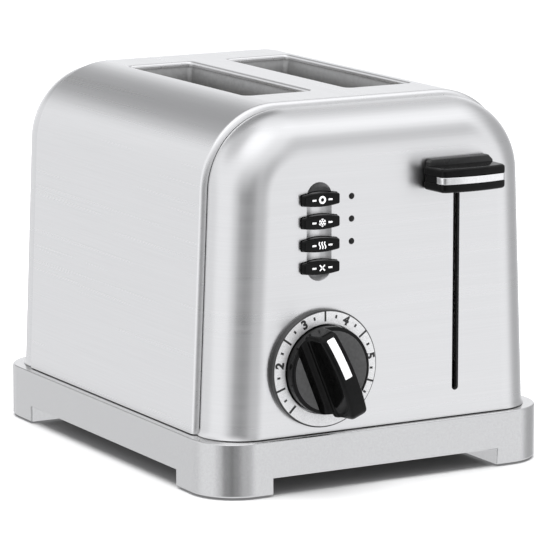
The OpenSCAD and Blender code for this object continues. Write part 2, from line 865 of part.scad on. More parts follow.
// The folded feet that hold an end plate down; s is -1 at the front and 1 at the back.
module end_plate_feet(s) {
    y0 = min(s * chamber_half, s * (chamber_half + chassis_t + foot_fold));
    for (sx = [-1, 1])
        difference() {
            block([sx * flange_at[0] - fold_w / 2, sx * flange_at[0] + fold_w / 2],
                [y0, y0 + chassis_t + foot_fold], [base_h, base_h + chassis_t]);
            translate([sx * flange_at[0], s * flange_at[1], base_h - over])
                cylinder(r = screw_r, h = chassis_t + 2 * over);
        }
}

module front_end_plate() {
    placed() color("lightgray") {
        end_plate(-chamber_half - chassis_t);
        end_plate_feet(-1);
        difference() {
            block([spring_x - spring_r - 2, rod_x + rod_r + 5],
                [carriage_y - carriage_depth / 2, -chamber_half - chassis_t / 2],
                [tab_z, tab_z + chassis_t]);
            translate([rod_x, carriage_y, tab_z - over])
                cylinder(r = rod_r, h = chassis_t + 2 * over);
        }
    }
}

module rear_end_plate() {
    placed() color("lightgray") {
        end_plate(chamber_half);
        end_plate_feet(1);
    }
}

module reflector(s) {
    x = s * (slot_pitch / 2 + heater_offset + reflector_gap);
    block([x - reflector_t / 2, x + reflector_t / 2], [-chamber_half, chamber_half],
        [base_h, chamber_top + reflector_over]);
}

module left_reflector() {
    placed() color("silver") reflector(-1);
}

module right_reflector() {
    placed() color("silver") reflector(1);
}

// A heater board and its ribbon; side is the board's side of the slot, slot the slot's side.
function heater_x(slot, side) = slot * slot_pitch / 2 + side * heater_offset;

module heater_board(slot, side) {
    block([heater_x(slot, side) - heater_t / 2, heater_x(slot, side) + heater_t / 2],
        [-chamber_half, chamber_half], [heater_low, chamber_top]);
}

module heater_winding(slot, side) {
    inner = heater_x(slot, side) - side * heater_t / 2;
    pitch = (chamber_top - heater_low - 2 * ribbon_margin - ribbon_h) / (ribbon_count - 1);
    for (i = [0:ribbon_count - 1])
        block([min(inner, inner - side * ribbon_t), max(inner, inner - side * ribbon_t)],
            [-chamber_half + ribbon_margin, chamber_half - ribbon_margin],
            [heater_low + ribbon_margin + i * pitch, heater_low + ribbon_margin + i * pitch + ribbon_h]);
}

module left_outer_heater() {
    placed() color("tan") heater_board(-1, -1);
}

module left_inner_heater() {
    placed() color("tan") heater_board(-1, 1);
}

module right_inner_heater() {
    placed() color("tan") heater_board(1, -1);
}

module right_outer_heater() {
    placed() color("tan") heater_board(1, 1);
}

module left_outer_winding() {
    placed() color("dimgray") heater_winding(-1, -1);
}

module left_inner_winding() {
    placed() color("dimgray") heater_winding(-1, 1);
}

module right_inner_winding() {
    placed() color("dimgray") heater_winding(1, -1);
}

module right_outer_winding() {
    placed() color("dimgray") heater_winding(1, 1);
}

// A bread guard: a hinged lower rail, a top rail and upright wires between them.
module bread_guard(x) {
    reach = chamber_half - guard_gap;
    top = chamber_top - guard_drop;
    pitch = 2 * (reach - guard_wire_inset) / (guard_wire_count - 1);
    rod_y(x, guard_hinge_z, guard_rail_r,
        -chamber_half - chassis_t - 1, chamber_half + chassis_t + 1);
    rod_y(x, top, guard_rail_r, -reach, reach);
    for (i = [0:guard_wire_count - 1])
        translate([x, -reach + guard_wire_inset + i * pitch, guard_hinge_z])
            cylinder(r = guard_wire_r, h = top - guard_hinge_z);
}

module left_outer_guard() {
    placed() color("silver") bread_guard(guard_places()[0]);
}

module left_inner_guard() {
    placed() color("silver") bread_guard(guard_places()[1]);
}

module right_inner_guard() {
    placed() color("silver") bread_guard(guard_places()[2]);
}

module right_outer_guard() {
    placed() color("silver") bread_guard(guard_places()[3]);
}

module crumb_tray() {
    half = tray_w / 2 - tray_inset;
    rear = base_d / 2 - door_t;
    placed() color("gainsboro") {
        difference() {
            block([-half, half], [tray_front, rear + door_t / 2], [tray_z, tray_z + tray_h - tray_drop]);
            block([-half + tray_t, half - tray_t], [tray_front + tray_t, rear - tray_t],
                [tray_z + tray_t, tray_z + tray_h]);
        }
        block([-tray_w / 2, tray_w / 2], [rear, base_d / 2], [tray_z, tray_z + tray_h]);
    }
}

module tray_grip() {
    placed() color("dimgray")
        block([-tray_grip_w / 2, tray_grip_w / 2], [base_d / 2, base_d / 2 + grip_out],
            [tray_z + (tray_h - tray_grip_h) / 2, tray_z + (tray_h + tray_grip_h) / 2]);
}

module magnet_core() {
    placed() color("slategray") difference() {
        block([keeper_x - keeper_w / 2, keeper_x + keeper_w / 2],
            [carriage_y - core_half, carriage_y + core_half], [base_h, magnet_top]);
        for (s = [-1, 1])
            block([keeper_x + s * 2 * limb_half - limb_half, keeper_x + s * 2 * limb_half + limb_half],
                [carriage_y - core_half - over, carriage_y + core_half + over],
                [base_h + core_yoke, magnet_top + over]);
    }
}

module magnet_coil() {
    placed() color("peru") difference() {
        block([keeper_x - 3 * limb_half + coil_clear, keeper_x + 3 * limb_half - coil_clear],
            [carriage_y - core_half - coil_wall, carriage_y + core_half + coil_wall],
            [base_h + core_yoke, magnet_top - coil_drop]);
        block([keeper_x - limb_half, keeper_x + limb_half],
            [carriage_y - core_half, carriage_y + core_half], [base_h, magnet_top]);
    }
}

module control_board() {
    placed() color("seagreen")
        block(board_x, [board_y, board_y + board_t], board_z);
}

module button_switches() {
    placed() color("dimgray") for (i = [0:button_count - 1])
        difference() {
            block([-button_x - switch_w / 2, -button_x + switch_w / 2],
                [board_y - switch_h, board_y],
                [button_z(i) - switch_w / 2, button_z(i) + switch_w / 2]);
            rod_y(-button_x, button_z(i), stem_r + button_clear,
                board_y - switch_h - over, board_y - switch_h + button_travel + 1);
        }
}

module board_posts() {
    placed() color("silver")
        for (x = [board_x[0] + post_inset, board_x[1] - post_inset],
             z = [board_z[0] + post_r, board_z[1] - post_drop])
            rod_y(x, z, post_r, front_y + sheet_t, board_y);
}

module mains_switch() {
    placed() color("ivory") {
        block(mains_x, mains_y, [base_h, base_h + mains_h]);
        block([mains_x[0] + key_inset, mains_x[1] - key_inset],
            [mains_y[0] + key_inset, mains_y[1] - key_inset],
            [base_h + mains_h, base_h + mains_h + key_h]);
    }
}

module cord_gland() {
    placed() color("black") difference() {
        union() {
            rod_y(gland_x, gland_z, gland_body_r, -front_y - gland_depth, -front_y);
            rod_y(gland_x, gland_z, gland_body_r + gland_lip, -front_y, -front_y + gland_flange_t);
        }
        rod_y(gland_x, gland_z, cord_hole_r,
            -front_y - gland_depth - over, -front_y + gland_flange_t + over);
    }
}

// Two insulated wires from the gland to the mains switch, past the side of the chamber.
module inner_wiring() {
    rear = -front_y - gland_depth - wire_rear;
    placed() color("firebrick") for (i = [-1, 1]) {
        x = wire_lane_x + i * wire_gap;
        z = gland_z + i * wire_gap;
        rod_y(x, wire_lane_z, wire_r, mains_y[1], rear);
        translate([x, rear, wire_lane_z]) sphere(wire_r);
        translate([x, rear, wire_lane_z]) cylinder(r = wire_r, h = z - wire_lane_z);
        translate([x, rear, z]) sphere(wire_r);
        translate([gland_x + i, rear, z]) rotate([0, 90, 0])
            cylinder(r = wire_r, h = x - gland_x - i);
    }
}

module base_screws() {
    placed() color("gray") for (sx = [-1, 1], sy = [-1, 1])
        translate([sx * boss_at[0], sy * boss_at[1], foot_h - screw_head_t]) {
            cylinder(r = screw_head_r, h = screw_head_t);
            cylinder(r = screw_r, h = screw_head_t + plate_t + screw_bite);
        }
}

module chassis_screws() {
    placed() color("gray") for (sx = [-1, 1], sy = [-1, 1])
        translate([sx * flange_at[0], sy * flange_at[1], base_h - floor_t]) {
            cylinder(r = screw_r, h = floor_t + chassis_t + screw_head_t);
            translate([0, 0, floor_t + chassis_t])
                cylinder(r = screw_head_r, h = screw_head_t);
        }
}

base_frame();
bottom_plate();
foot_pads();
body_wrap();
front_panel();
rear_panel();
left_slot_chute();
right_slot_chute();
bagel_button();
defrost_button();
reheat_button();
cancel_button();
indicator_lenses();
dial_ring();
browning_knob();
knob_pointer();
knob_shaft();
browning_pot();
lever_handle();
lever_trim();
lever_slot_liner();
carriage_bracket();
carriage_bush();
keeper_plate();
guide_rod();
return_spring();
left_bread_rack();
right_bread_rack();
front_end_plate();
rear_end_plate();
left_reflector();
right_reflector();
left_outer_heater();
left_inner_heater();
right_inner_heater();
right_outer_heater();
left_outer_winding();
left_inner_winding();
right_inner_winding();
right_outer_winding();
left_outer_guard();
left_inner_guard();
right_inner_guard();
right_outer_guard();
crumb_tray();
tray_grip();
magnet_core();
magnet_coil();
control_board();
button_switches();
board_posts();
mains_switch();
cord_gland();
inner_wiring();
base_screws();
chassis_screws();
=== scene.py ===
# Two-slice pop-up toaster: the shown pieces, finishes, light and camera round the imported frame.
import math

import bmesh
import bpy
from mathutils import Matrix, Vector


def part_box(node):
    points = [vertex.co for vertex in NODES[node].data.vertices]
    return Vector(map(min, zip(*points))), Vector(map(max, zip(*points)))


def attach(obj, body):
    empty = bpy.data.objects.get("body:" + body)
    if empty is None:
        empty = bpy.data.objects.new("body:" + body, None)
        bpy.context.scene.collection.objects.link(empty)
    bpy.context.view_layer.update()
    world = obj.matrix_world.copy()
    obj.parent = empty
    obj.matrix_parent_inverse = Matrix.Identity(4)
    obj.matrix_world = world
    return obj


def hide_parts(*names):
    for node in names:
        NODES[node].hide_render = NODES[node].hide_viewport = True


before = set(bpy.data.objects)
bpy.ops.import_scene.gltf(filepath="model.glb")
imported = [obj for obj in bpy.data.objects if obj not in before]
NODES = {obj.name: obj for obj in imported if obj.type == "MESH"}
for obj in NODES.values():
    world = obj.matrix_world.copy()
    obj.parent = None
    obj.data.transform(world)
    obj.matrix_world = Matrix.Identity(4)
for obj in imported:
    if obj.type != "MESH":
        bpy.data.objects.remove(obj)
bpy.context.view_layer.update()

MM = 0.001


def centre(node):
    """Middle of a node's box, in mm."""
    lo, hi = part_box(node)
    return (lo + hi) / (2 * MM)


def low(node):
    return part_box(node)[0] / MM


def high(node):
    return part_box(node)[1] / MM


# -------- node trees and finishes


class Tree:
    """A node tree under construction, with short calls for its nodes."""

    def __init__(self, nt):
        self.nt = nt

    def node(self, kind, inputs=(), **sets):
        """A new node. Its inputs are given by name, or by place in order, as links or plain values."""
        n = self.nt.nodes.new(kind)
        for key, value in sets.items():
            setattr(n, key, value)
        places = inputs.items() if isinstance(inputs, dict) else enumerate(inputs)
        for place, value in places:
            if isinstance(value, bpy.types.NodeSocket):
                self.link(value, n.inputs[place])
            else:
                n.inputs[place].default_value = value
        return n

    def link(self, a, b):
        self.nt.links.new(a, b)

    def maths(self, operation, *values):
        return self.node("ShaderNodeMath", values, operation=operation).outputs["Value"]

    def vector(self, x=0.0, y=0.0, z=0.0):
        return self.node("ShaderNodeCombineXYZ", (x, y, z)).outputs["Vector"]

    def remap(self, value, start, end, lo, hi, **sets):
        """Maps start to end onto lo to hi."""
        return self.node("ShaderNodeMapRange", (value, start, end, lo, hi), **sets).outputs["Result"]


class Finish(Tree):
    """A material under construction."""

    def __init__(self, name):
        self.mat = bpy.data.materials.new(name)
        self.mat.use_nodes = True
        super().__init__(self.mat.node_tree)
        self.bsdf = self.nt.nodes["Principled BSDF"]

    def set(self, **values):
        for key, value in values.items():
            self.bsdf.inputs[key.replace("_", " ")].default_value = value

    def grain(self, scale, detail=2.0, rough=0.5):
        """Noise on object coordinates, scale given per metre along x, y and z."""
        coords = self.node("ShaderNodeTexCoord").outputs["Object"]
        mapped = self.node("ShaderNodeMapping", {"Vector": coords, "Scale": scale}).outputs["Vector"]
        fine = {"Vector": mapped, "Scale": 1.0, "Detail": detail, "Roughness": rough}
        return self.node("ShaderNodeTexNoise", fine).outputs["Fac"]

    def tint(self, fac, dark, light, end=0.7):
        """Base colour running from dark to light with a pattern."""
        cr = self.node("ShaderNodeValToRGB", {"Fac": fac})
        for stop, place, colour in zip(cr.color_ramp.elements, (0.3, end), (dark, light)):
            stop.position = place
            stop.color = (*colour, 1)
        self.link(cr.outputs["Color"], self.bsdf.inputs["Base Color"])

    def sheen_range(self, fac, lo, hi):
        """Roughness running from lo to hi with a pattern."""
        self.link(self.remap(fac, 0.3, 0.7, lo, hi), self.bsdf.inputs["Roughness"])

    def relief(self, fac, strength, distance):
        """Fine bumps that follow a pattern."""
        bump = self.node("ShaderNodeBump", {"Strength": strength, "Distance": distance, "Height": fac})
        self.link(bump.outputs["Normal"], self.bsdf.inputs["Normal"])


def rgb(tone):
    """A colour from one grey value or from three."""
    return tone if isinstance(tone, tuple) else (tone,) * 3


def brushed(name, streak, dark, light, wrapped):
    """Brushed stainless sheet. streak is the noise scale per metre, low along the brushing.
    wrapped turns the shine with a sheet bent about y."""
    f = Finish(name)
    f.set(Metallic=1.0, Anisotropic=0.5)
    fine = f.grain(streak, 3.0, 0.65)
    f.tint(fine, rgb(dark), rgb(light), 0.72)
    f.sheen_range(f.grain(tuple(v * 0.22 for v in streak)), 0.27, 0.305)
    f.relief(fine, 0.035, 0.00003)
    if wrapped:
        normal = f.node("ShaderNodeNewGeometry").outputs["Normal"]
        cross = f.node("ShaderNodeVectorMath", (normal, (0, 1, 0)), operation="CROSS_PRODUCT")
        f.link(cross.outputs["Vector"], f.bsdf.inputs["Tangent"])
    else:
        f.link(f.vector(z=1.0), f.bsdf.inputs["Tangent"])
    return f.mat


def plain(name, dark, light, rough, metal=0.0, scale=400.0, bump=0.05, spec=0.5, depth=0.00003):
    """Cast, moulded or plated finish with fine mottling."""
    f = Finish(name)
    f.set(Metallic=metal, Specular_IOR_Level=spec)
    fine = f.grain((scale,) * 3, 3.0)
    f.tint(fine, rgb(dark), rgb(light))
    f.sheen_range(f.grain((scale * 0.1,) * 3), *rough)
    f.relief(fine, bump, depth)
    return f.mat


WRAP_STEEL = brushed("wrap_steel", (1700, 16, 1700), 0.805, 0.84, wrapped=True)
PANEL_STEEL = brushed("panel_steel", (16, 16, 1700), 0.755, 0.785, wrapped=False)
BASE_SILVER = plain("base_silver_satin", 0.60, 0.64, (0.15, 0.20), metal=0.94, scale=900, bump=0.03)
# Dark grey of the dial's wall and outer rim: partly the wall's own tone, partly painted shade at the ring's
# side and a painted dark line round the ring's edge
DIAL_WALL_GREY_AND_SHADE = plain("dial_wall_grey", 0.06, 0.08, (0.3, 0.4), metal=0.8, scale=900)
DIAL_SILVER = plain(
    "dial_silver_sparkle", 0.60, 0.92, (0.38, 0.5), metal=0.7, scale=4200, bump=0.35, depth=0.0001)
GLOSS_BLACK = plain("gloss_black", 0.002, 0.004, (0.10, 0.16), scale=260, spec=0.14, bump=0.02)
KNOB_BLACK = plain("knob_black", 0.002, 0.004, (0.12, 0.18), scale=500, spec=0.14, bump=0.03)
KNOB_SATIN = plain("knob_satin", 0.042, 0.058, (0.3, 0.4), scale=700, spec=0.4, bump=0.04)
LEVER_SATIN = plain("lever_satin", 0.010, 0.016, (0.25, 0.35), scale=700, spec=0.35, bump=0.04)
LENS_DARK = plain("lens_dark", 0.006, 0.012, (0.08, 0.14), scale=700, spec=0.2, bump=0.02)
WHITE_PAINT = plain("white_print", 0.85, 0.92, (0.4, 0.5), scale=1500)
BLACK_PAINT = plain("black_print", 0.012, 0.02, (0.4, 0.5), scale=1500)
STRIP_SILVER = plain("strip_silver", 0.86, 0.93, (0.16, 0.24), metal=1.0, scale=900)
POINTER_WHITE = plain("pointer_silver", 0.88, 0.95, (0.25, 0.33), metal=0.35, scale=1200)
# Steel of the slot collars, its colour kept low to paint the shade inside the slots
SLOT_STEEL_PAINTED_SHADE = plain("slot_steel", 0.30, 0.35, (0.42, 0.5), metal=0.8, scale=500)
CHASSIS_STEEL = plain("chassis_steel", 0.52, 0.6, (0.3, 0.42), metal=1.0, scale=300)
DARK_PLATE = plain("dark_plate", 0.05, 0.07, (0.45, 0.6), metal=0.6, scale=500)
RUBBER = plain("foot_rubber", 0.018, 0.028, (0.7, 0.85), scale=900, bump=0.3, depth=0.0001)
CHROME_WIRE = plain("chrome_wire", 0.66, 0.74, (0.12, 0.2), metal=1.0, scale=500)
MICA = plain(
    "mica_sheet", (0.42, 0.33, 0.2), (0.60, 0.5, 0.33), (0.3, 0.45), scale=160, bump=0.15, depth=0.0001)
NICHROME = plain(
    "nichrome_ribbon", (0.34, 0.31, 0.29), (0.48, 0.45, 0.42), (0.3, 0.42), metal=1.0, scale=600)
COPPER = plain("copper_coil", (0.58, 0.24, 0.12), (0.78, 0.38, 0.2), (0.24, 0.34), metal=1.0, scale=900)
BOARD_GREEN = plain("board_green", (0.012, 0.09, 0.04), (0.02, 0.14, 0.06), (0.3, 0.42), scale=600)
BLUE_PLASTIC = plain("blue_plastic", (0.02, 0.08, 0.2), (0.03, 0.1, 0.25), (0.35, 0.45), scale=600)
IVORY = plain("ivory_plastic", (0.62, 0.56, 0.44), (0.7, 0.64, 0.52), (0.35, 0.45), scale=600)
BLACK_PLASTIC = plain("black_plastic", 0.014, 0.022, (0.35, 0.5), scale=900, bump=0.15, depth=0.00006)
WIRE_RED = plain("wire_red", (0.3, 0.02, 0.015), (0.42, 0.03, 0.02), (0.35, 0.5), scale=900)
ZINC = plain("zinc_screw", (0.577, 0.56, 0.543), (0.721, 0.7, 0.679), (0.22, 0.34), metal=1.0, scale=900)


# -------- mesh helpers

# Sizes are in mm, in a frame whose y = 0 is the middle of the body
Y_MID = centre("base_frame").y


def add_object(name, data):
    obj = bpy.data.objects.new(name, data)
    bpy.context.scene.collection.objects.link(obj)
    return obj


def shade(obj, angle):
    """Smooth faces, with edges sharper than the angle kept crisp."""
    mesh = obj.data
    mesh.polygons.foreach_set("use_smooth", [True] * len(mesh.polygons))
    mesh.set_sharp_from_angle(angle=math.radians(angle))


def mesh_from(name, bm, *materials):
    """Turns a bmesh into a mesh with its materials."""
    mesh = bpy.data.meshes.new(name)
    bm.to_mesh(mesh)
    bm.free()
    for m in materials:
        mesh.materials.append(m)
    return mesh


def to_object(name, bm, material, smooth=32.0):
    """Turns a bmesh in mm, centred on the body, into an object in the row frame."""
    bmesh.ops.remove_doubles(bm, verts=bm.verts, dist=1e-4)
    mesh = mesh_from(name, bm, material)
    mesh.transform(Matrix.Translation((0, Y_MID * MM, 0)) @ Matrix.Scale(MM, 4))
    obj = add_object(name, mesh)
    shade(obj, smooth)
    return obj


def shown_mesh(obj):
    """A plain mesh of the object as its modifiers make it."""
    dg = bpy.context.evaluated_depsgraph_get()
    return bpy.data.meshes.new_from_object(obj.evaluated_get(dg))


def settle(obj):
    """Gives the object the mesh that its modifiers make."""
    mesh = shown_mesh(obj)
    old = obj.data
    obj.modifiers.clear()
    obj.data = mesh
    bpy.data.meshes.remove(old)
    mesh.name = obj.name
    return obj


def weigh(obj):
    """Keeps wide flat faces flat beside small curved ones."""
    mod = obj.modifiers.new("weigh", "WEIGHTED_NORMAL")
    mod.keep_sharp = True
    mod.weight = 60
    return settle(obj)


def thicken(obj, depth, angle=32.0):
    """Gives a sheet its thickness, inwards from its shown side."""
    mod = obj.modifiers.new("wall", "SOLIDIFY")
    mod.thickness = depth * MM
    mod.offset = -1
    mod.use_even_offset = True
    shade(settle(obj), angle)
    return obj


def cut(obj, cutters, angle=32.0):
    """Takes the cutters out of the object."""
    for c in cutters:
        mod = obj.modifiers.new("cut", "BOOLEAN")
        mod.operation = "DIFFERENCE"
        mod.solver = "EXACT"
        mod.object = c
    shade(settle(obj), angle)
    for c in cutters:
        bpy.data.meshes.remove(c.data)
    return obj


def join(name, objs):
    """One object from several, with all their materials."""
    bm = bmesh.new()
    mats = []
    for o in objs:
        start = len(bm.faces)
        bm.from_mesh(o.data)
        bm.faces.ensure_lookup_table()
        offsets = []
        for m in o.data.materials:
            if m not in mats:
                mats.append(m)
            offsets.append(mats.index(m))
        for face in bm.faces[start:]:
            face.material_index = offsets[face.material_index]
        bpy.data.meshes.remove(o.data)
    return add_object(name, mesh_from(name, bm, *mats))


def done(obj, body, slot, *nodes):
    """Hands a finished piece to the frame."""
    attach(obj, body)
    if nodes:
        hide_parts(*nodes)


def quarter(steps):
    """Angles of a quarter turn, from 0 up."""
    return [math.pi / 2 * k / steps for k in range(steps + 1)]


def roll(r, steps):
    """A rounded edge in (a, b) pairs: a grows from 0 to r as b falls from r to 0."""
    return [(r * (1 - math.cos(t)), r * (1 - math.sin(t))) for t in quarter(steps)]


def at_y(outline, y):
    """(x, z) points stood up at a depth."""
    return [(x, y, z) for x, z in outline]


def at_z(outline, z):
    """(x, y) points laid at a height."""
    return [(x, y, z) for x, y in outline]


def rounded_rect(w, d, r, at_x):
    """(x, y) outline of a rectangle with round corners, w by d about a place on the x axis."""
    steps = 8
    pts = []
    for k, (sx, sy) in enumerate(((1, 1), (-1, 1), (-1, -1), (1, -1))):
        for i in range(steps + 1):
            t = math.radians(90 * (k + i / steps))
            x = at_x + sx * (w / 2 - r) + r * math.cos(t)
            pts.append((x, sy * (d / 2 - r) + r * math.sin(t)))
    return pts


def disc(r, steps, at=(0, 0)):
    turns = [2 * math.pi * i / steps for i in range(steps)]
    return [(at[0] + r * math.cos(t), at[1] + r * math.sin(t)) for t in turns]


def clockwise(at, r, t):
    """Point (x, z) at a clockwise angle from the top of a circle round at."""
    return at[0] + r * math.sin(t), at[1] + r * math.cos(t)


def skin(bm, rings, closed=False):
    """Quads between rings of equal length. Returns the rings' vertices."""
    rows = [[bm.verts.new(p) for p in r] for r in rings]
    n = len(rows[0])
    for a, b in zip(rows, rows[1:]):
        for i in range(n if closed else n - 1):
            j = (i + 1) % n
            bm.faces.new([a[i], b[i], b[j], a[j]])
    return rows


def face_out(bm, score):
    """Turns a sheet's faces alike, so that their scores add up to more than nothing."""
    bmesh.ops.recalc_face_normals(bm, faces=bm.faces)
    if sum(score(f) for f in bm.faces) < 0:
        bmesh.ops.reverse_faces(bm, faces=bm.faces)


def loft(name, rings, material, smooth=32.0):
    """A closed solid through rings of points, capped at both ends."""
    bm = bmesh.new()
    rows = skin(bm, rings, closed=True)
    bm.faces.new(rows[0])
    bm.faces.new(rows[-1])
    bmesh.ops.recalc_face_normals(bm, faces=bm.faces)
    return to_object(name, bm, material, smooth)


def turned(name, profile, at, material, steps, smooth=32.0):
    """A solid of revolution about a line along y at (x, z), from (radius, y) points in order."""
    bm = bmesh.new()
    rows = skin(bm, [at_y(disc(max(r, 1e-3), steps, at), y) for r, y in profile], closed=True)
    if profile[0] != profile[-1]:
        bm.faces.new(rows[0])
        bm.faces.new(rows[-1])
    bmesh.ops.remove_doubles(bm, verts=bm.verts, dist=0.01)
    bmesh.ops.recalc_face_normals(bm, faces=bm.faces)
    return to_object(name, bm, material, smooth)


# -------- body

BODY_TOP = high("body_wrap").z
BASE_TOP = low("body_wrap").z
BODY_HALF = high("body_wrap").x
DRAFT = math.radians(2.4)
SHOULDER_R = 42.0
SHOULDER_STEPS = 36
SHOULDER_Z = BODY_TOP - SHOULDER_R
SHOULDER_X = (
    BODY_HALF
    - SHOULDER_R * math.cos(DRAFT)
    - (SHOULDER_Z + SHOULDER_R * math.sin(DRAFT) - BASE_TOP) * math.tan(DRAFT)
)
SHEET = 1.0
FOOT_GAP = 0.45              # between a sheet's lower edge and the base
WRAP_END = high("body_wrap").y - Y_MID
LIP_LEN = 2.6                # the wrap's ends roll in over this length
LIP_TURN = math.radians(62)
LIP_DROP = 3.0               # how far they roll in
SLOT_X = [centre("left_slot_chute").x, centre("right_slot_chute").x]
SLOT_W = high("left_slot_chute").x - low("left_slot_chute").x - 2 * SHEET
SLOT_L = high("left_slot_chute").y - low("left_slot_chute").y - 2 * SHEET
SLOT_CORNER = 3.0
SLOT_LIP_R = 1.5
SLOT_SKIRT = 1.6             # straight part of a slot's lip below its roll
LIP_SHEET, COLLAR_SHEET = 0.7, 0.8
CUT_REACH = 6.0              # how far a cutter reaches into the body


def body_outline(inset, foot):
    """(x, z) points across the body, from the right foot over the top to the left one.
    foot gives its lowest points as (height, flare)."""
    reach = BODY_HALF - inset / math.cos(DRAFT)
    right = [(reach - height * math.tan(DRAFT) + flare, BASE_TOP + height) for height, flare in foot]
    r = SHOULDER_R - inset
    for i in range(SHOULDER_STEPS + 1):
        t = DRAFT + (math.pi / 2 - DRAFT) * i / SHOULDER_STEPS
        right.append((SHOULDER_X + r * math.cos(t), SHOULDER_Z + r * math.sin(t)))
    return right + [(-x, z) for x, z in reversed(right)]


def top_z(x):
    """Height of the body's top at x."""
    d = max(0.0, abs(x) - SHOULDER_X)
    return SHOULDER_Z + math.sqrt(SHOULDER_R**2 - d * d)


def make_wrap():
    """The sheet bent over the body, its ends rolled in and its two slots cut and lipped."""
    ends = []
    for t in (LIP_TURN * i / 12 for i in range(13)):
        out = math.sin(t) / math.sin(LIP_TURN)
        drop = (1 - math.cos(t)) / (1 - math.cos(LIP_TURN))
        ends.append((WRAP_END - LIP_LEN * (1 - out), LIP_DROP * drop))
    stations = [(-y, inset) for y, inset in reversed(ends)] + ends
    bm = bmesh.new()
    skin(bm, [at_y(body_outline(inset, ((FOOT_GAP, 0.0),)), y) for y, inset in stations])
    bmesh.ops.recalc_face_normals(bm, faces=bm.faces)
    wrap = thicken(to_object("wrap_sheet", bm, WRAP_STEEL), SHEET)
    opening = (SLOT_W + 2 * SLOT_LIP_R, SLOT_L + 2 * SLOT_LIP_R, SLOT_CORNER + SLOT_LIP_R)
    cutters = []
    for x in SLOT_X:
        outline = rounded_rect(*opening, x)
        rings = [at_z(outline, BODY_TOP + up) for up in (-CUT_REACH, CUT_REACH)]
        cutters.append(loft("slot_cut", rings, WRAP_STEEL))
    weigh(cut(wrap, cutters))
    lips = [slot_lip(x) for x in SLOT_X]
    done(join("body_wrap_steel", [wrap, *lips]), "housing", "brushed_steel", "body_wrap")


def slot_lip(middle):
    """The rolled edge that turns down into a slot."""
    rings = []
    for drop, grow in roll(SLOT_LIP_R, 7) + [(SLOT_LIP_R + SLOT_SKIRT, 0.0)]:
        outline = rounded_rect(SLOT_W + 2 * grow, SLOT_L + 2 * grow, SLOT_CORNER + grow, middle)
        rings.append([(x, y, top_z(x) - drop) for x, y in outline])
    bm = bmesh.new()
    skin(bm, rings, closed=True)
    face_out(bm, lambda f: f.normal.z)
    return thicken(to_object("slot_lip", bm, WRAP_STEEL, 50), LIP_SHEET, 50)


def make_slot_collar(side, middle):
    """The collar under a slot, set in from the lip by a small step and flared at its foot."""
    step, flare, play = 0.45, 0.6, 0.05
    foot = low(f"{side}_slot_chute").z
    top = BODY_TOP - SLOT_LIP_R - 1.0
    rings = []
    for grow, z in ((0.0, top), (0.0, top - 1.2), (-step, top - 1.9), (-step, foot + 2.0), (flare, foot)):
        w, d = SLOT_W - play + 2 * grow, SLOT_L - play + 2 * grow
        rings.append(at_z(rounded_rect(w, d, SLOT_CORNER + grow, middle), z))
    bm = bmesh.new()
    skin(bm, rings, closed=True)
    face_out(bm, lambda f: f.normal.x * (middle - f.calc_center_median().x))
    # The collar's low steel colour paints the shade inside the slot.
    collar = thicken(to_object(f"{side}_slot_collar", bm, SLOT_STEEL_PAINTED_SHADE, 40), COLLAR_SHEET, 40)
    done(collar, "housing", "slot_steel", f"{side}_slot_chute")


# -------- end panels

PANEL_FACE = low("front_panel").y - Y_MID
PANEL_INSET = 2.5
SEAM_GAP = -0.25             # negative: the panel starts inside the wrap's end
EDGE_ROLL = 0.85             # how far a panel's rear edge draws in at the seam
EDGE_LEN = 3.6
ROLL_R = 22.0                # round the panel's face
FLARE = ((FOOT_GAP, 1.1), (1.1, 0.7), (1.9, 0.3), (3.0, 0.08), (4.2, 0.0))    # height, flare at the foot
BUTTONS = ["bagel_button", "defrost_button", "reheat_button", "cancel_button"]
BUTTON_X = centre("bagel_button").x
TROUGH_W, TROUGH_DEPTH = 14.0, 2.2
TROUGH_TOP, TROUGH_L = BODY_TOP - 36.4, 49.0
DIAL = centre("dial_ring")
DIAL_AT = (DIAL.x, DIAL.z)
LEVER_X = centre("lever_handle").x
SLIT_W = 3.7
LINER_EDGE = 4.0             # the liner behind the lever's slit reaches past its ends by this
LENS_HOLE_R, SHAFT_HOLE_R, GLAND_HOLE_R = 1.6, 4.0, 6.95


def panel_rings(sign):
    """Rings of an end panel, from its rear edge round the roll to its flat. sign is -1 at the control end."""
    stations = []
    for part in (k / 6 for k in range(7)):
        stations.append((WRAP_END + SEAM_GAP + EDGE_LEN * part, PANEL_INSET + EDGE_ROLL * (1 - part) ** 2))
    stations += [(-PANEL_FACE - b, PANEL_INSET + a) for a, b in roll(ROLL_R, 16)]
    return [at_y(body_outline(inset, FLARE), sign * y) for y, inset in stations]


def trough_outline(r):
    """(x, z) outline at r from the middle line of the trough behind the buttons."""
    steps = 12
    upper, lower = TROUGH_TOP - TROUGH_W / 2, TROUGH_TOP - TROUGH_L + TROUGH_W / 2
    turns = [math.pi * i / steps for i in range(steps + 1)]
    over = [(BUTTON_X + r * math.cos(t), upper + r * math.sin(t)) for t in turns]
    return over + [(BUTTON_X - r * math.cos(t), lower - r * math.sin(t)) for t in turns]


def trough_rings():
    """Rings of the dished trough, from the panel's flat to its deepest line."""
    r_full = (TROUGH_W**2 / 4 + TROUGH_DEPTH**2) / (2 * TROUGH_DEPTH)
    rings = [at_y(trough_outline(TROUGH_W / 2), PANEL_FACE)]
    for k in range(1, 13):
        r = TROUGH_W / 2 * (1 - k / 12.5)
        depth = math.sqrt(r_full**2 - r * r) - (r_full - TROUGH_DEPTH)
        rings.append(at_y(trough_outline(r), PANEL_FACE + depth))
    return rings


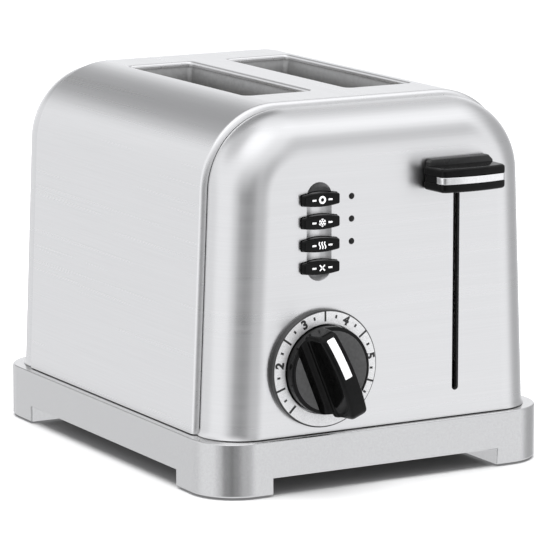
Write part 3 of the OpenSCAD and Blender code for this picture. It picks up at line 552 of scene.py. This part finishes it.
def control_holes():
    """(x, z) outlines of the holes for the buttons, the lenses, the dial's shaft and the lever."""
    heights = [centre(name).z for name in BUTTONS]
    holes = [[(BUTTON_X + x, z + h) for x, h in button_outline(0.3)] for z in heights]
    lens_x = centre("indicator_lenses").x
    holes += [disc(LENS_HOLE_R, 32, (lens_x, z)) for z in heights[:3]]
    holes.append(disc(SHAFT_HOLE_R, 32, DIAL_AT))
    r = SLIT_W / 2
    bottom = low("lever_slot_liner").z + LINER_EDGE + r
    top = high("lever_slot_liner").z - LINER_EDGE
    turns = [math.pi + math.pi * i / 12 for i in range(13)]
    slit = [(LEVER_X + r * math.cos(t), bottom + r * math.sin(t)) for t in turns]
    return holes + [slit + [(LEVER_X + r, top), (LEVER_X - r, top)]]


def finish_panel(bm, sign, name, holes):
    """Gives an end panel's sheet its thickness and holes; sign is -1 for the control end."""
    face_out(bm, lambda f: sign * f.normal.y * f.calc_area())
    panel = thicken(to_object(f"{name}_sheet", bm, PANEL_STEEL, 24), SHEET, 24)
    depths = [sign * (-PANEL_FACE + out) for out in (CUT_REACH / 2, -CUT_REACH)]
    cutters = [loft("hole", [at_y(hole, y) for y in depths], PANEL_STEEL) for hole in holes]
    weigh(cut(panel, cutters, 24))
    panel.name = f"{name}_steel"
    done(panel, "housing", "brushed_steel", name)


def make_front_panel():
    """The control panel: rolled all round, with the dished trough and the holes of its controls."""
    bm = bmesh.new()
    face_edge = skin(bm, panel_rings(-1))[-1]
    dish = skin(bm, trough_rings(), closed=True)
    bm.faces.new(dish[-1])
    edges = []
    for loop in (face_edge, dish[0]):
        for a, b in zip(loop, loop[1:] + loop[:1]):
            edges.append(bm.edges.get((a, b)) or bm.edges.new((a, b)))
    bmesh.ops.triangle_fill(bm, edges=edges, use_beauty=True)
    bmesh.ops.remove_doubles(bm, verts=bm.verts, dist=1e-3)
    finish_panel(bm, -1, "front_panel", control_holes())


def make_rear_panel():
    """The plain panel at the back, with the gland's hole."""
    bm = bmesh.new()
    bm.faces.new(skin(bm, panel_rings(1))[-1])
    gland = centre("cord_gland")
    finish_panel(bm, 1, "rear_panel", [disc(GLAND_HOLE_R, 48, (gland.x, gland.z))])


# -------- buttons

BUTTON_W, BUTTON_H, BUTTON_END_H = 20.4, 7.0, 5.0
BUTTON_OUT = 3.2
BUTTON_ROOT = 2.5            # its length below the trough
BUTTON_EDGE = 1.1
BUTTON_CORNER = 0.9
PRINT_BACK = PANEL_FACE - BUTTON_OUT + 0.03
PRINT_H = 0.11


def button_outline(grow):
    """(x, z) outline of a push button: crowned long edges, square ends with small corners."""
    steps = 14
    w, h = BUTTON_W / 2 + grow, BUTTON_H / 2 + grow
    crown = (BUTTON_H - BUTTON_END_H) / 2
    r = max(BUTTON_CORNER + min(0, grow), 0.2)
    top = []
    for i in range(steps + 1):
        x = (-1 + 2 * i / steps) * (w - r)
        top.append((x, h - crown * (x / w) ** 2))
    end = top[-1][1] - r
    right = [(w - r + r * math.sin(t), end + r * math.cos(t)) for t in quarter(4)[1:]]
    bottom = [(x, -z) for x, z in reversed(top + right)]
    return top + right + bottom + [(-x, -z) for x, z in right] + [(-x, z) for x, z in reversed(right)]


def make_button(name):
    """A push button with a rolled edge and a slightly dished face."""
    z = centre(name).z
    front = PANEL_FACE - BUTTON_OUT
    stations = [(PANEL_FACE + TROUGH_DEPTH + BUTTON_ROOT, 0.0)]
    stations += [(front + b, -a) for a, b in roll(BUTTON_EDGE, 6)]
    stations += [(front + 0.05, -1.6), (front, -2.3)]
    rings = [[(BUTTON_X + x, y, z + h) for x, h in button_outline(grow)] for y, grow in stations]
    button = loft(name.replace("button", "push_button"), rings, GLOSS_BLACK, 40)
    done(button, name.replace("button", "key"), "gloss_black", name)


def stroke(path, half):
    """A white printed stroke of even width along an (x, z) path on the buttons' face."""
    rings = []
    for k, (x, z) in enumerate(path):
        ax, az = path[max(k - 1, 0)]
        bx, bz = path[min(k + 1, len(path) - 1)]
        d = math.hypot(bx - ax, bz - az)
        nx, nz = -(bz - az) / d * half, (bx - ax) / d * half
        left, right = (x + nx, z + nz), (x - nx, z - nz)
        rings.append(at_y((left, right), PRINT_BACK) + at_y((right, left), PRINT_BACK - PRINT_H))
    return loft("stroke", rings, WHITE_PAINT)


def bars(at, count, first, step, length):
    """White printed bars crossed at one place on the buttons' face."""
    middle = (at[0], PRINT_BACK - PRINT_H / 2, at[1])
    return dashes("bars", WHITE_PAINT, count, first, step, 0.0, (length, 0.62, PRINT_H), middle)


def ring_sign(at):
    return [stroke([clockwise(at, 1.45, 2 * math.pi * k / 48) for k in range(49)], 0.48)]


def flake_sign(at):
    parts = [bars(at, 3, 0, 60, 3.9)]
    for arm in range(0, 360, 60):
        fork = clockwise(at, 1.25, math.radians(arm))
        for turn in (-50, 50):
            parts.append(stroke([fork, clockwise(fork, 0.75, math.radians(arm + turn))], 0.2))
    return parts


def wave_sign(at):
    steps = 20
    parts = []
    for side in (-1.5, 0.0, 1.5):
        path = []
        for k in range(steps + 1):
            sway = 0.36 * math.sin(2 * math.pi * k / steps)
            path.append((at[0] + side + sway, at[1] - 1.75 + 3.5 * k / steps))
        parts.append(stroke(path, 0.3))
    return parts


def cross_sign(at):
    return [bars(at, 2, 45, 90, 4.0)]


def make_button_sign(name, sign):
    """White print on a push button: a small sign with a dash on each side."""
    x, z = BUTTON_X, centre(name).z
    parts = [stroke([(x + side * 3.4, z), (x + side * 5.6, z)], 0.42) for side in (-1, 1)]
    signed = join(name.replace("button", "sign"), parts + sign((x, z)))
    done(signed, name.replace("button", "key"), "gloss_black")


# -------- base

BASE_HALF_W, BASE_HALF_D = high("base_frame").x, high("base_frame").y - Y_MID
BASE_CORNER = 24.0
FOOT_EDGE_R = 2.0
LONG_EDGE_SHARE = 0.45       # the base's long edges have this share of the feet's rounding
FOOT_TOP, RIM_LOW = 9.6, 28.0


def base_depth(p):
    """How far a point lies inside the base's outline."""
    x, y = BASE_HALF_W - abs(p.x), BASE_HALF_D - abs(p.y)
    if x < BASE_CORNER and y < BASE_CORNER:
        return BASE_CORNER - math.hypot(BASE_CORNER - x, BASE_CORNER - y)
    return min(x, y)


def base_rounding(a, b):
    """Share of the full rounding on the base's edge from a to b."""
    on_wall = sum(base_depth(p) < 0.1 for p in (a, b))
    if on_wall == 2 and (max(a.z, b.z) < FOOT_TOP or a.z > RIM_LOW):
        return LONG_EDGE_SHARE
    return 1.0 if on_wall == 1 and max(a.z, b.z) < 1.0 else 0.0


def merged(node):
    """A bmesh of a CAD node in metres, with its loose triangles joined."""
    bm = bmesh.new()
    bm.from_mesh(NODES[node].data)
    bmesh.ops.remove_doubles(bm, verts=bm.verts, dist=2e-6)
    return bm


def make_base():
    """The base moulding, with its long edges and the feet's ends rounded."""
    bm = merged("base_frame")
    bmesh.ops.dissolve_limit(bm, angle_limit=math.radians(1.0), verts=bm.verts, edges=bm.edges)
    bm.normal_update()
    weight = bm.edges.layers.float.new("bevel_weight_edge")
    shift = Vector((0, Y_MID, 0))
    for e in bm.edges:
        if len(e.link_faces) == 2 and math.degrees(e.calc_face_angle(0.0)) > 30:
            a, b = (v.co / MM - shift for v in e.verts)
            e[weight] = base_rounding(a, b)
    base = add_object("base_shell", mesh_from("base_shell", bm, BASE_SILVER))
    mod = base.modifiers.new("soft", "BEVEL")
    mod.width = FOOT_EDGE_R * MM
    mod.segments = 4
    mod.limit_method = "WEIGHT"
    mod.use_clamp_overlap = False
    shade(settle(base), 32)
    done(weigh(base), "housing", "base_silver", "base_frame")


# -------- rings of dashes


class Pattern(Tree):
    """A Geometry Nodes tree with named inputs that ends in one painted mesh."""

    def __init__(self, name, labels, seeded=False):
        super().__init__(bpy.data.node_groups.new(name, "GeometryNodeTree"))
        face = self.nt.interface
        if seeded:
            face.new_socket("Geometry", in_out="INPUT", socket_type="NodeSocketGeometry")
        self.sockets = []
        for label in labels:
            kind = "NodeSocketInt" if label == "Count" else "NodeSocketFloat"
            self.sockets.append(face.new_socket(label, in_out="INPUT", socket_type=kind).identifier)
        face.new_socket("Geometry", in_out="OUTPUT", socket_type="NodeSocketGeometry")
        self.given = self.node("NodeGroupInput").outputs

    def instances(self, points, shape, turn):
        """The shape on every point, turned."""
        spread = {"Points": points, "Instance": shape, "Rotation": turn}
        copies = self.node("GeometryNodeInstanceOnPoints", spread).outputs["Instances"]
        return self.node("GeometryNodeRealizeInstances", {"Geometry": copies}).outputs["Geometry"]

    def finish(self, geometry, material):
        paint = self.node("GeometryNodeSetMaterial", {"Geometry": geometry, "Material": material})
        self.node("NodeGroupOutput", {"Geometry": paint.outputs["Geometry"]})

    def run(self, name, spots, values):
        """A plain mesh object that the tree makes from a list of points, with its inputs in order."""
        mesh = bpy.data.meshes.new(name)
        mesh.from_pydata(spots, [], [])
        obj = add_object(name, mesh)
        mod = obj.modifiers.new("pattern", "NODES")
        mod.node_group = self.nt
        for identifier, value in zip(self.sockets, values):
            mod[identifier] = value
        return settle(obj)


RING_INPUTS = (
    "Count", "First angle", "Step", "Radius", "Length", "Width", "Height", "Centre X", "Centre Y", "Centre Z")


def dashes(name, material, count, first, step, radius, size, middle):
    """Equal dashes of size (length, width, height) round a circle that faces -y.
    Angles are in degrees, clockwise from the top."""
    ring = Pattern(name, RING_INPUTS)
    given = ring.given
    index = ring.node("GeometryNodeInputIndex").outputs["Index"]
    turn = ring.maths("MULTIPLY_ADD", index, given["Step"], given["First angle"])
    x = ring.maths("MULTIPLY_ADD", ring.maths("SINE", turn), given["Radius"], given["Centre X"])
    z = ring.maths("MULTIPLY_ADD", ring.maths("COSINE", turn), given["Radius"], given["Centre Z"])
    spots = {"Count": given["Count"], "Position": ring.vector(x, given["Centre Y"], z)}
    points = ring.node("GeometryNodePoints", spots)
    dash_size = ring.vector(given["Width"], given["Height"], given["Length"])
    dash = ring.node("GeometryNodeMeshCube", {"Size": dash_size})
    made = ring.instances(points.outputs[0], dash.outputs["Mesh"], ring.vector(y=turn))
    ring.finish(made, material)
    place = Vector(middle) + Vector((0, Y_MID, 0))
    lengths = [v * MM for v in (radius, *size, *place)]
    return ring.run(name, [], (count, math.radians(first), math.radians(step), *lengths))


# -------- browning dial

RING_R = high("dial_ring").x - DIAL.x
RING_FRONT = low("dial_ring").y - Y_MID
KNOB_R = 21.9
RING_BORE = KNOB_R + 0.5
DIAL_FIRST, DIAL_PITCH = -135, 54    # where the 1 stands and the angle from number to number


def make_dial():
    """The dial's ring: a silver face on a dark grey wall. The wall's colour, also carried round the face's
    outer rim, paints the shade at the ring's side and a dark line round its edge.
    """
    wall = turned(
        "dial_wall",
        [
            (RING_BORE, PANEL_FACE), (RING_BORE, RING_FRONT + 0.5),
            (RING_R - 0.75, RING_FRONT + 0.12), (RING_R - 0.35, RING_FRONT + 0.25),
            (RING_R, RING_FRONT + 0.8), (RING_R, PANEL_FACE), (RING_BORE, PANEL_FACE),
        ],
        DIAL_AT, DIAL_WALL_GREY_AND_SHADE, 128)
    face = turned(
        "dial_face",
        [
            (RING_BORE, RING_FRONT + 0.6), (RING_BORE, RING_FRONT + 0.15),
            (RING_BORE + 0.2, RING_FRONT), (RING_R - 1.0, RING_FRONT),
            (RING_R - 0.8, RING_FRONT + 0.06), (RING_R - 0.8, RING_FRONT + 0.4),
            (RING_BORE, RING_FRONT + 0.6),
        ],
        DIAL_AT, DIAL_SILVER, 128)
    done(join("dial_ring_silver", [face, wall]), "housing", "dial_silver", "dial_ring")


def dial_digit(text, turn):
    """A number on the dial, standing along its own radius."""
    curve = bpy.data.curves.new("digit", "FONT")
    curve.body = text
    curve.size = 6.2 * MM
    curve.offset = 0.3 * MM
    curve.extrude = 0.05 * MM
    curve.align_x = "CENTER"
    curve.align_y = "CENTER"
    lettering = add_object("digit", curve)
    mesh = shown_mesh(lettering)
    bpy.data.objects.remove(lettering)
    xs = [v.co.x for v in mesh.vertices]
    ys = [v.co.y for v in mesh.vertices]
    x, z = clockwise(DIAL_AT, 26.0, math.radians(turn))
    place = Matrix.Translation(Vector((x, Y_MID + RING_FRONT, z)) * MM)
    upright = Matrix.Rotation(math.radians(turn), 4, "Y") @ Matrix.Rotation(math.pi / 2, 4, "X")
    middle = Matrix.Translation((-(min(xs) + max(xs)) / 2, -(min(ys) + max(ys)) / 2, 0))
    mesh.transform(place @ upright @ middle)
    mesh.materials.clear()
    mesh.materials.append(BLACK_PAINT)
    return add_object("digit", mesh)


def make_dial_print():
    """Numbers 1 to 6 and the lines between them."""
    middle = (DIAL.x, RING_FRONT, DIAL.z)
    half, fourth = DIAL_PITCH / 2, DIAL_PITCH / 4
    parts = [
        dashes("long_ticks", BLACK_PAINT, 5, DIAL_FIRST + half, DIAL_PITCH, 26.3, (5.2, 1.0, 0.1), middle),
        dashes("short_ticks", BLACK_PAINT, 10, DIAL_FIRST + fourth, half, 26.2, (1.7, 1.05, 0.1), middle),
    ]
    parts += [dial_digit(str(k + 1), DIAL_FIRST + DIAL_PITCH * k) for k in range(6)]
    done(join("dial_numbers", parts), "housing", "gloss_black")


# -------- browning knob

KNOB_TURN = math.radians(22)
KNOB_FACE = PANEL_FACE - 9.4
KNOB_BACK = PANEL_FACE - 0.5
KNOB_EDGE = 1.1
GRIP_TOP = 16.46
GRIP_LEFT, GRIP_RIGHT = -6.4, 5.0
GRIP_TAIL, GRIP_TIP = -23.4, 22.3
TAIL_ROLL, TIP_ROLL = 3.0, 2.6
ARCH_R = 60.0
ARCH_PEAK = -4.0


def on_knob(w, a, h):
    """Point on the knob: w across the grip, a along it towards the pointer, h out from the disc's face."""
    return (
        DIAL.x + w * math.cos(KNOB_TURN) - a * math.sin(KNOB_TURN),
        KNOB_FACE - h,
        DIAL.z + w * math.sin(KNOB_TURN) + a * math.cos(KNOB_TURN),
    )


def arch(a):
    """Height of the grip's back."""
    return GRIP_TOP - ARCH_R + math.sqrt(ARCH_R**2 - (a - ARCH_PEAK) ** 2)


def knob_disc():
    """The disc with its rolled edge, scooped out along the grip's left side."""
    profile = [(3.0, KNOB_BACK), (KNOB_R, KNOB_BACK)]
    profile += [(KNOB_R - a, KNOB_FACE + b) for a, b in roll(KNOB_EDGE, 5)]
    knob = turned("knob_disc", profile + [(0.0, KNOB_FACE)], DIAL_AT, KNOB_BLACK, 128, 30)
    scoop = disc(5.6, 96, (-9.8, 4.35))
    rings = [[on_knob(w, a, h) for w, h in scoop] for a in (-30, 30)]
    return weigh(cut(knob, [loft("scoop", rings, KNOB_BLACK)], 30))


def grip_section(a, shrink):
    """(w, h) across the grip at a station, drawn in by shrink at an end."""
    top = arch(a) - shrink
    left, right = GRIP_LEFT + 0.55 * shrink, GRIP_RIGHT - 0.55 * shrink
    lean, left_roll, right_roll = 1.35, 1.7, 1.2
    pts = [(left - 0.5, -1.0), (left - 0.1, 0.6), (left + 0.15, 1.0), (left + 0.5, lean)]
    for part in (k / 6 for k in range(1, 7)):
        pts.append((left + 0.5 + lean * part**0.8, lean + (top - 3.2) * part))
    w, h = pts[-1]
    for t in quarter(5)[1:]:
        pts.append((w + left_roll * (1 - math.cos(t)), h + (top - h) * math.sin(t)))
    for t in quarter(5):
        pts.append((right - 1.3 + right_roll * math.sin(t), top - 1.6 * (1 - math.cos(t))))
    return pts + [(right, 1.0), (right + 0.15, 0.3), (right + 0.2, -1.0)]


def knob_grip():
    """The bar across the disc, arched along its back and rolled at both ends."""
    start, end = GRIP_TAIL + TAIL_ROLL, GRIP_TIP - TIP_ROLL
    stations = [(GRIP_TAIL + a, b) for a, b in roll(TAIL_ROLL, 6)]
    stations += [(start + (end - start) * k / 24, 0.0) for k in range(1, 24)]
    stations += [(GRIP_TIP - b, a) for a, b in roll(TIP_ROLL, 6)]
    rings = [[on_knob(w, a, h) for w, h in grip_section(a, shrink)] for a, shrink in stations]
    return weigh(loft("knob_grip", rings, KNOB_BLACK, 38))


def knob_flat(side, near):
    """A satin segment on the disc beside the grip, from near outwards."""
    r = KNOB_R - 1.9
    reach = math.acos(near / r)
    turns = [reach * (k / 16 - 1) for k in range(33)]
    plan = [(side * r * math.cos(t), r * math.sin(t)) for t in turns]
    rings = [[on_knob(w, a, h) for w, a in plan] for h in (-0.3, 0.07)]
    rings.append([on_knob(w - side * 0.25, a * 0.985, 0.11) for w, a in plan])
    return loft("knob_flat", rings, KNOB_SATIN, 30)


def make_knob():
    """The knob: disc, grip bar and the satin segments on both its sides."""
    parts = [knob_disc(), knob_grip(), knob_flat(1, 6.6), knob_flat(-1, 13.6)]
    done(join("browning_knob_black", parts), "browning_control", "gloss_black", "browning_knob")


def inlay_section(left, right, deep, shoulder, top):
    """Section of an inlaid strip with small chamfers along its shown edges."""
    cham = 0.15
    edge_left = [(left, deep), (left, shoulder), (left + cham, top)]
    return edge_left + [(right - cham, top), (right, shoulder), (right, deep)]


def make_pointer():
    """The bright inlay along the grip's back."""
    steps = 32
    rings = []
    for k in range(steps + 1):
        a = 20.2 - 21.2 * k / steps
        end = 0.25 if k in (0, steps) else 0.0
        section = inlay_section(-1.9 + end, 2.3 - end, -0.5, 0.05 - end, 0.14 - end)
        rings.append([on_knob(w, a, arch(a) + out) for w, out in section])
    pointer = loft("pointer_inlay", rings, POINTER_WHITE, 30)
    done(pointer, "browning_control", "bright_trim", "knob_pointer")


# -------- lever

HANDLE_W = 37.0
HANDLE_BACK = PANEL_FACE - 0.5
HANDLE_FRONT = PANEL_FACE - 17.44
HANDLE_LOW = low("lever_handle").z
HANDLE_TOP = HANDLE_LOW + 12.0
HANDLE_EDGE = 1.5
HANDLE_BOW = 1.6
HANDLE_SPREAD = 1.4          # how much wider the left end is at the back
RIDGE_TOP = high("lever_handle").z
RIDGE_CHAMFER = 2.4
STRIP_Z = centre("lever_trim").z
GROOVE_HALF, GROOVE_DEPTH = 1.75, 0.8
STRIP_HALF, STRIP_REACH = 1.7, 5.7


def handle_plan(inset, back):
    """(x, y) outline of the handle: bowed front, rounded corners, and its back edge at back."""
    half = HANDLE_W / 2 - inset
    front = HANDLE_FRONT + inset
    corner = 3.0 - inset * 0.6
    bow = []
    for s in (-1 + k / 5 for k in range(11)):
        bow.append((LEVER_X + s * (half - corner), front - HANDLE_BOW * (1 - s * s)))
    right = [(LEVER_X + half - b, front + a) for a, b in roll(corner, 6)[1:]]
    rear = [(LEVER_X + half - a, back - b) for a, b in roll(1.5, 4)]
    turn_back = [(2 * LEVER_X - x, y) for x, y in reversed(right + rear)]
    plan = []
    for x, y in bow + right + rear + turn_back:
        left_part = max(0.0, (LEVER_X - x) / half)
        back_part = max(0.0, (y - HANDLE_FRONT) / (HANDLE_BACK - HANDLE_FRONT))
        plan.append((x - HANDLE_SPREAD * left_part * back_part, y))
    return plan


def lever_block():
    """The handle's body, with a groove for the strip round it."""
    lower = [(HANDLE_LOW + a, b) for a, b in roll(HANDLE_EDGE, 6)]
    upper = [(HANDLE_TOP - b, a) for a, b in roll(HANDLE_EDGE, 6)]
    lo, hi = STRIP_Z - GROOVE_HALF, STRIP_Z + GROOVE_HALF
    groove = [(lo - 0.25, 0.0), (lo, 0.3), (lo, GROOVE_DEPTH)]
    groove += [(hi, GROOVE_DEPTH), (hi, 0.3), (hi + 0.25, 0.0)]
    rings = [at_z(handle_plan(inset, HANDLE_BACK - inset), z) for z, inset in lower]
    rings += [at_z(handle_plan(inset, HANDLE_BACK), z) for z, inset in groove]
    rings += [at_z(handle_plan(inset, HANDLE_BACK - inset), z) for z, inset in upper]
    return weigh(loft("lever_block", rings, GLOSS_BLACK, 40))


def lever_ridge():
    """The ridge along the handle's back, chamfered at its top corners."""
    half, cham = HANDLE_W / 2, RIDGE_CHAMFER
    outline = [
        (-half, HANDLE_TOP - 3), (half, HANDLE_TOP - 3), (half, RIDGE_TOP - cham), (half - cham, RIDGE_TOP),
        (-half + cham * 0.6, RIDGE_TOP), (-half, RIDGE_TOP - cham * 0.6)]
    rings = []
    for out, inset in ((0.0, 0.35), (0.35, 0.0), (3.3, 0.0), (3.9, 0.25), (4.2, 0.8)):
        ring = [(LEVER_X + x * (1 - inset / half), z - (inset if z > HANDLE_TOP else 0)) for x, z in outline]
        rings.append(at_y(ring, HANDLE_BACK - out))
    return loft("lever_ridge", rings, LEVER_SATIN, 30)


def make_lever():
    handle = join("lever_handle_black", [lever_block(), lever_ridge()])
    done(handle, "carriage", "gloss_black", "lever_handle")


def make_lever_strip():
    """The silver strip in the handle's groove, round its front and a little way along its sides."""
    reach = HANDLE_FRONT + STRIP_REACH
    front = [p for p in handle_plan(0.0, HANDLE_BACK) if p[1] < reach]
    front.sort(key=lambda p: math.atan2(p[0] - LEVER_X, HANDLE_BACK - p[1]))
    rings = []
    for x, y in [(front[0][0], reach), *front, (front[-1][0], reach)]:
        out = Vector((x - LEVER_X, (y - HANDLE_BACK) * 2.2)).normalized()
        section = inlay_section(-STRIP_HALF, STRIP_HALF, -0.9, -0.05, 0.06)
        rings.append([(x + out.x * o, y + out.y * o, STRIP_Z + h) for h, o in section])
    done(loft("lever_strip", rings, STRIP_SILVER, 30), "carriage", "bright_trim", "lever_trim")


# -------- small parts


def solids_of(node):
    """Box of each separate solid in a CAD node, as three (low, high) pairs in metres."""
    bm = merged(node)
    seen, boxes = set(), []
    for v in bm.verts:
        if v in seen:
            continue
        stack, group = [v], []
        seen.add(v)
        while stack:
            at = stack.pop()
            group.append(at.co.copy())
            for far in (e.other_vert(at) for e in at.link_edges):
                if far not in seen:
                    seen.add(far)
                    stack.append(far)
        boxes.append([(min(c[i] for c in group), max(c[i] for c in group)) for i in range(3)])
    bm.free()
    return boxes


def screw_heads(name, spots, radius, height):
    """Round heads with a cross recess, facing down on a list of points. All in metres."""
    screws = Pattern(name, ("Radius", "Height", "Recess"), seeded=True)
    given = screws.given
    round_head = {"Vertices": 40, "Radius": given["Radius"], "Depth": given["Height"]}
    head = screws.node("GeometryNodeMeshCylinder", round_head)
    long = screws.maths("MULTIPLY", given["Radius"], 1.15)
    short = screws.maths("MULTIPLY", given["Radius"], 0.26)
    cross = screws.node("GeometryNodeJoinGeometry")
    for x, y in ((long, short), (short, long)):
        bar = screws.node("GeometryNodeMeshCube", {"Size": screws.vector(x, y, given["Recess"])})
        screws.link(bar.outputs["Mesh"], cross.inputs["Geometry"])
    drop = screws.vector(z=screws.maths("MULTIPLY", given["Height"], -0.5))
    lowered = {"Geometry": cross.outputs["Geometry"], "Translation": drop}
    recess = screws.node("GeometryNodeTransform", lowered).outputs["Geometry"]
    carved = {"Mesh 1": head.outputs["Mesh"], "Mesh 2": recess}
    carve = screws.node("GeometryNodeMeshBoolean", carved, operation="DIFFERENCE")
    points = screws.node("GeometryNodeMeshToPoints", {"Mesh": given["Geometry"]})
    spin = screws.node("FunctionNodeRandomValue", {"Seed": 7}, data_type="FLOAT")
    angle = next(o for o in spin.outputs if o.enabled)
    made = screws.instances(points.outputs["Points"], carve.outputs["Mesh"], screws.vector(z=angle))
    screws.finish(made, ZINC)
    heads = screws.run(name, spots, (radius, height, height * 1.1))
    shade(heads, 32)
    return heads


def make_base_screws():
    boxes = solids_of("base_screws")
    height = 1.6 * MM
    spots = [((x0 + x1) / 2, (y0 + y1) / 2, z0 + height / 2) for (x0, x1), (y0, y1), (z0, _) in boxes]
    radius = (boxes[0][0][1] - boxes[0][0][0]) / 2
    heads = screw_heads("base_screw_heads", spots, radius, height)
    done(heads, "housing", "zinc_steel", "base_screws")


def make_lenses():
    """Low round domes, one on each of the lenses."""
    proud, buried = 0.55, 2.0
    domes = []
    for (x0, x1), _, (z0, z1) in solids_of("indicator_lenses"):
        r = (x1 - x0) / 2 / MM
        profile = [(r, PANEL_FACE + buried), (r, PANEL_FACE + 0.1)]
        profile += [(r * math.cos(t), PANEL_FACE - proud * math.sin(t)) for t in quarter(6)[1:-1]]
        profile.append((0.0, PANEL_FACE - proud))
        middle = ((x0 + x1) / 2 / MM, (z0 + z1) / 2 / MM)
        domes.append(turned("lens", profile, middle, LENS_DARK, 40, 40))
    done(join("indicator_lens_domes", domes), "housing", "lens_dark", "indicator_lenses")


def make_gland():
    """The cord's inlet: a ribbed nut round a collar with a bore."""
    gland = centre("cord_gland")
    at = (gland.x, gland.z)
    back = high("cord_gland").y - Y_MID
    face = -PANEL_FACE
    r = high("cord_gland").x - gland.x
    bore = 4.2
    profile = [
        (bore, face - 2.0), (bore, back - 0.5), (bore + 0.4, back), (r * 0.56, back), (r * 0.62, back - 0.5),
        (r * 0.64, face + 2.2), (r - 0.8, face + 1.9), (r - 0.1, face + 1.3), (r - 0.1, face - 2.0),
        (bore, face - 2.0)]
    collar = turned("gland_collar", profile, at, BLACK_PLASTIC, 72)
    size = (r * 0.26, 0.8, 0.9)
    ribs = dashes("gland_ribs", BLACK_PLASTIC, 18, 0, 20, r * 0.78, size, (gland.x, face + 2.1, gland.z))
    done(join("cord_gland_black", [collar, ribs]), "housing", "black_plastic", "cord_gland")


make_lenses()
make_gland()
make_base_screws()
make_base()
make_dial()
make_dial_print()
make_knob()
make_pointer()
make_lever()
make_lever_strip()
make_wrap()
for side, x in zip(("left", "right"), SLOT_X):
    make_slot_collar(side, x)
make_front_panel()
make_rear_panel()
for name, sign in zip(BUTTONS, (ring_sign, flake_sign, wave_sign, cross_sign)):
    make_button(name)
    make_button_sign(name, sign)


# -------- carried-over nodes

HEATERS = ("left_outer", "left_inner", "right_inner", "right_outer")
CARRIED = (
    (DARK_PLATE, ["bottom_plate"]),
    (RUBBER, ["foot_pads"]),
    (CHASSIS_STEEL, ["knob_shaft", "carriage_bracket", "keeper_plate", "magnet_core", "crumb_tray"]),
    (CHASSIS_STEEL, ["front_end_plate", "rear_end_plate", "left_reflector", "right_reflector"]),
    (CHROME_WIRE, ["guide_rod", "return_spring", "left_bread_rack", "right_bread_rack"]),
    (CHROME_WIRE, [f"{side}_guard" for side in HEATERS]),
    (MICA, [f"{side}_heater" for side in HEATERS]),
    (NICHROME, [f"{side}_winding" for side in HEATERS]),
    (COPPER, ["magnet_coil"]),
    (ZINC, ["chassis_screws"]),
    (BOARD_GREEN, ["control_board"]),
    (BLUE_PLASTIC, ["browning_pot"]),
    (IVORY, ["carriage_bush", "board_posts"]),
    (BLACK_PLASTIC, ["lever_slot_liner", "button_switches", "mains_switch", "tray_grip"]),
    (WIRE_RED, ["inner_wiring"]),
)
for material, names in CARRIED:
    for name in names:
        mesh = NODES[name].data
        mesh.materials.clear()
        mesh.materials.append(material)


# -------- floor, light, camera


def make_floor():
    f = Finish("floor_white")
    f.set(Base_Color=(0.50, 0.50, 0.50, 1), Roughness=1.0, Specular_IOR_Level=0.0)
    bm = bmesh.new()
    bmesh.ops.create_grid(bm, x_segments=1, y_segments=1, size=6.0)
    floor = add_object("studio_floor", mesh_from("studio_floor", bm, f.mat))
    floor.visible_glossy = False


def heading(azimuth, elevation):
    """Unit vector; azimuth 0 is straight out of the control panel and 90 to its left."""
    a, e = math.radians(azimuth), math.radians(elevation)
    return (-math.sin(a) * math.cos(e), -math.cos(a) * math.cos(e), math.sin(e))


# Soft light and dark patches of the room: (azimuth, elevation, inner edge, outer edge in degrees,
# change of brightness)
SOFT_ZONES = (
    (8, -6, 10, 34, -0.42),
    (42, -6, 10, 38, -0.38),
    (43, -11, 6, 17, -0.34),
    (-13, 10, 3, 19, -0.22),
    (-34, 28, 5, 21, -0.38),
    (-52, 59, 9, 25, 0.22),
    (-137, 42, 10, 28, -0.28),
    (125, 52, 8, 30, -0.35),
    (182, 36, 8, 30, -0.66),
    (200, -22, 8, 26, -0.45),
    (150, -14, 18, 40, -0.17),
    (-98, 5, 14, 44, -0.52),
    (50, 63, 10, 33, 0.36),
)


def make_world():
    """A pale room whose brightness changes softly in the zones."""
    world = bpy.data.worlds.new("studio")
    bpy.context.scene.world = world
    world.use_nodes = True
    room = Tree(world.node_tree)
    coords = room.node("ShaderNodeTexCoord").outputs["Generated"]
    way = room.node("ShaderNodeVectorMath", (coords,), operation="NORMALIZE").outputs["Vector"]
    total = 1.0
    for azimuth, elevation, inner, outer, change in SOFT_ZONES:
        middle = heading(azimuth, elevation)
        near = room.node("ShaderNodeVectorMath", (way, middle), operation="DOT_PRODUCT")
        start, end = math.cos(math.radians(outer)), math.cos(math.radians(inner))
        zone = room.remap(near.outputs["Value"], start, end, 0.0, change, interpolation_type="SMOOTHSTEP")
        total = room.maths("ADD", zone, total)
    channels = [room.maths("MULTIPLY", total, share) for share in (0.985, 0.99, 1.012)]
    tone = room.node("ShaderNodeCombineColor", channels)
    back = room.nt.nodes["Background"]
    back.inputs["Strength"].default_value = 1.05
    room.link(tone.outputs["Color"], back.inputs["Color"])


def make_lights():
    top = bpy.data.lights.new("overhead", "AREA")
    top.shape = "RECTANGLE"
    top.size = 3.0
    top.size_y = 3.0
    top.energy = 235.0
    lamp = add_object("overhead", top)
    lamp.location = (0, 0, 2.6)
    lamp.visible_glossy = False


def make_camera():
    camera = bpy.data.cameras.new("camera")
    camera.sensor_width = 36.0
    camera.lens = 254.13
    camera.clip_end = 50.0
    right = Vector((0.8715, -0.4905, -0.0003))
    up = Vector((0.0909, 0.1609, 0.9828))
    place = Matrix((right, up, right.cross(up))).transposed().to_4x4()
    place.translation = Vector((-0.9699, -1.7315 + Y_MID * MM, 0.4579))
    stand = add_object("camera", camera)
    stand.matrix_world = place
    bpy.context.scene.camera = stand


make_floor()
make_world()
make_lights()
make_camera()
bpy.context.scene.view_settings.view_transform = "Standard"
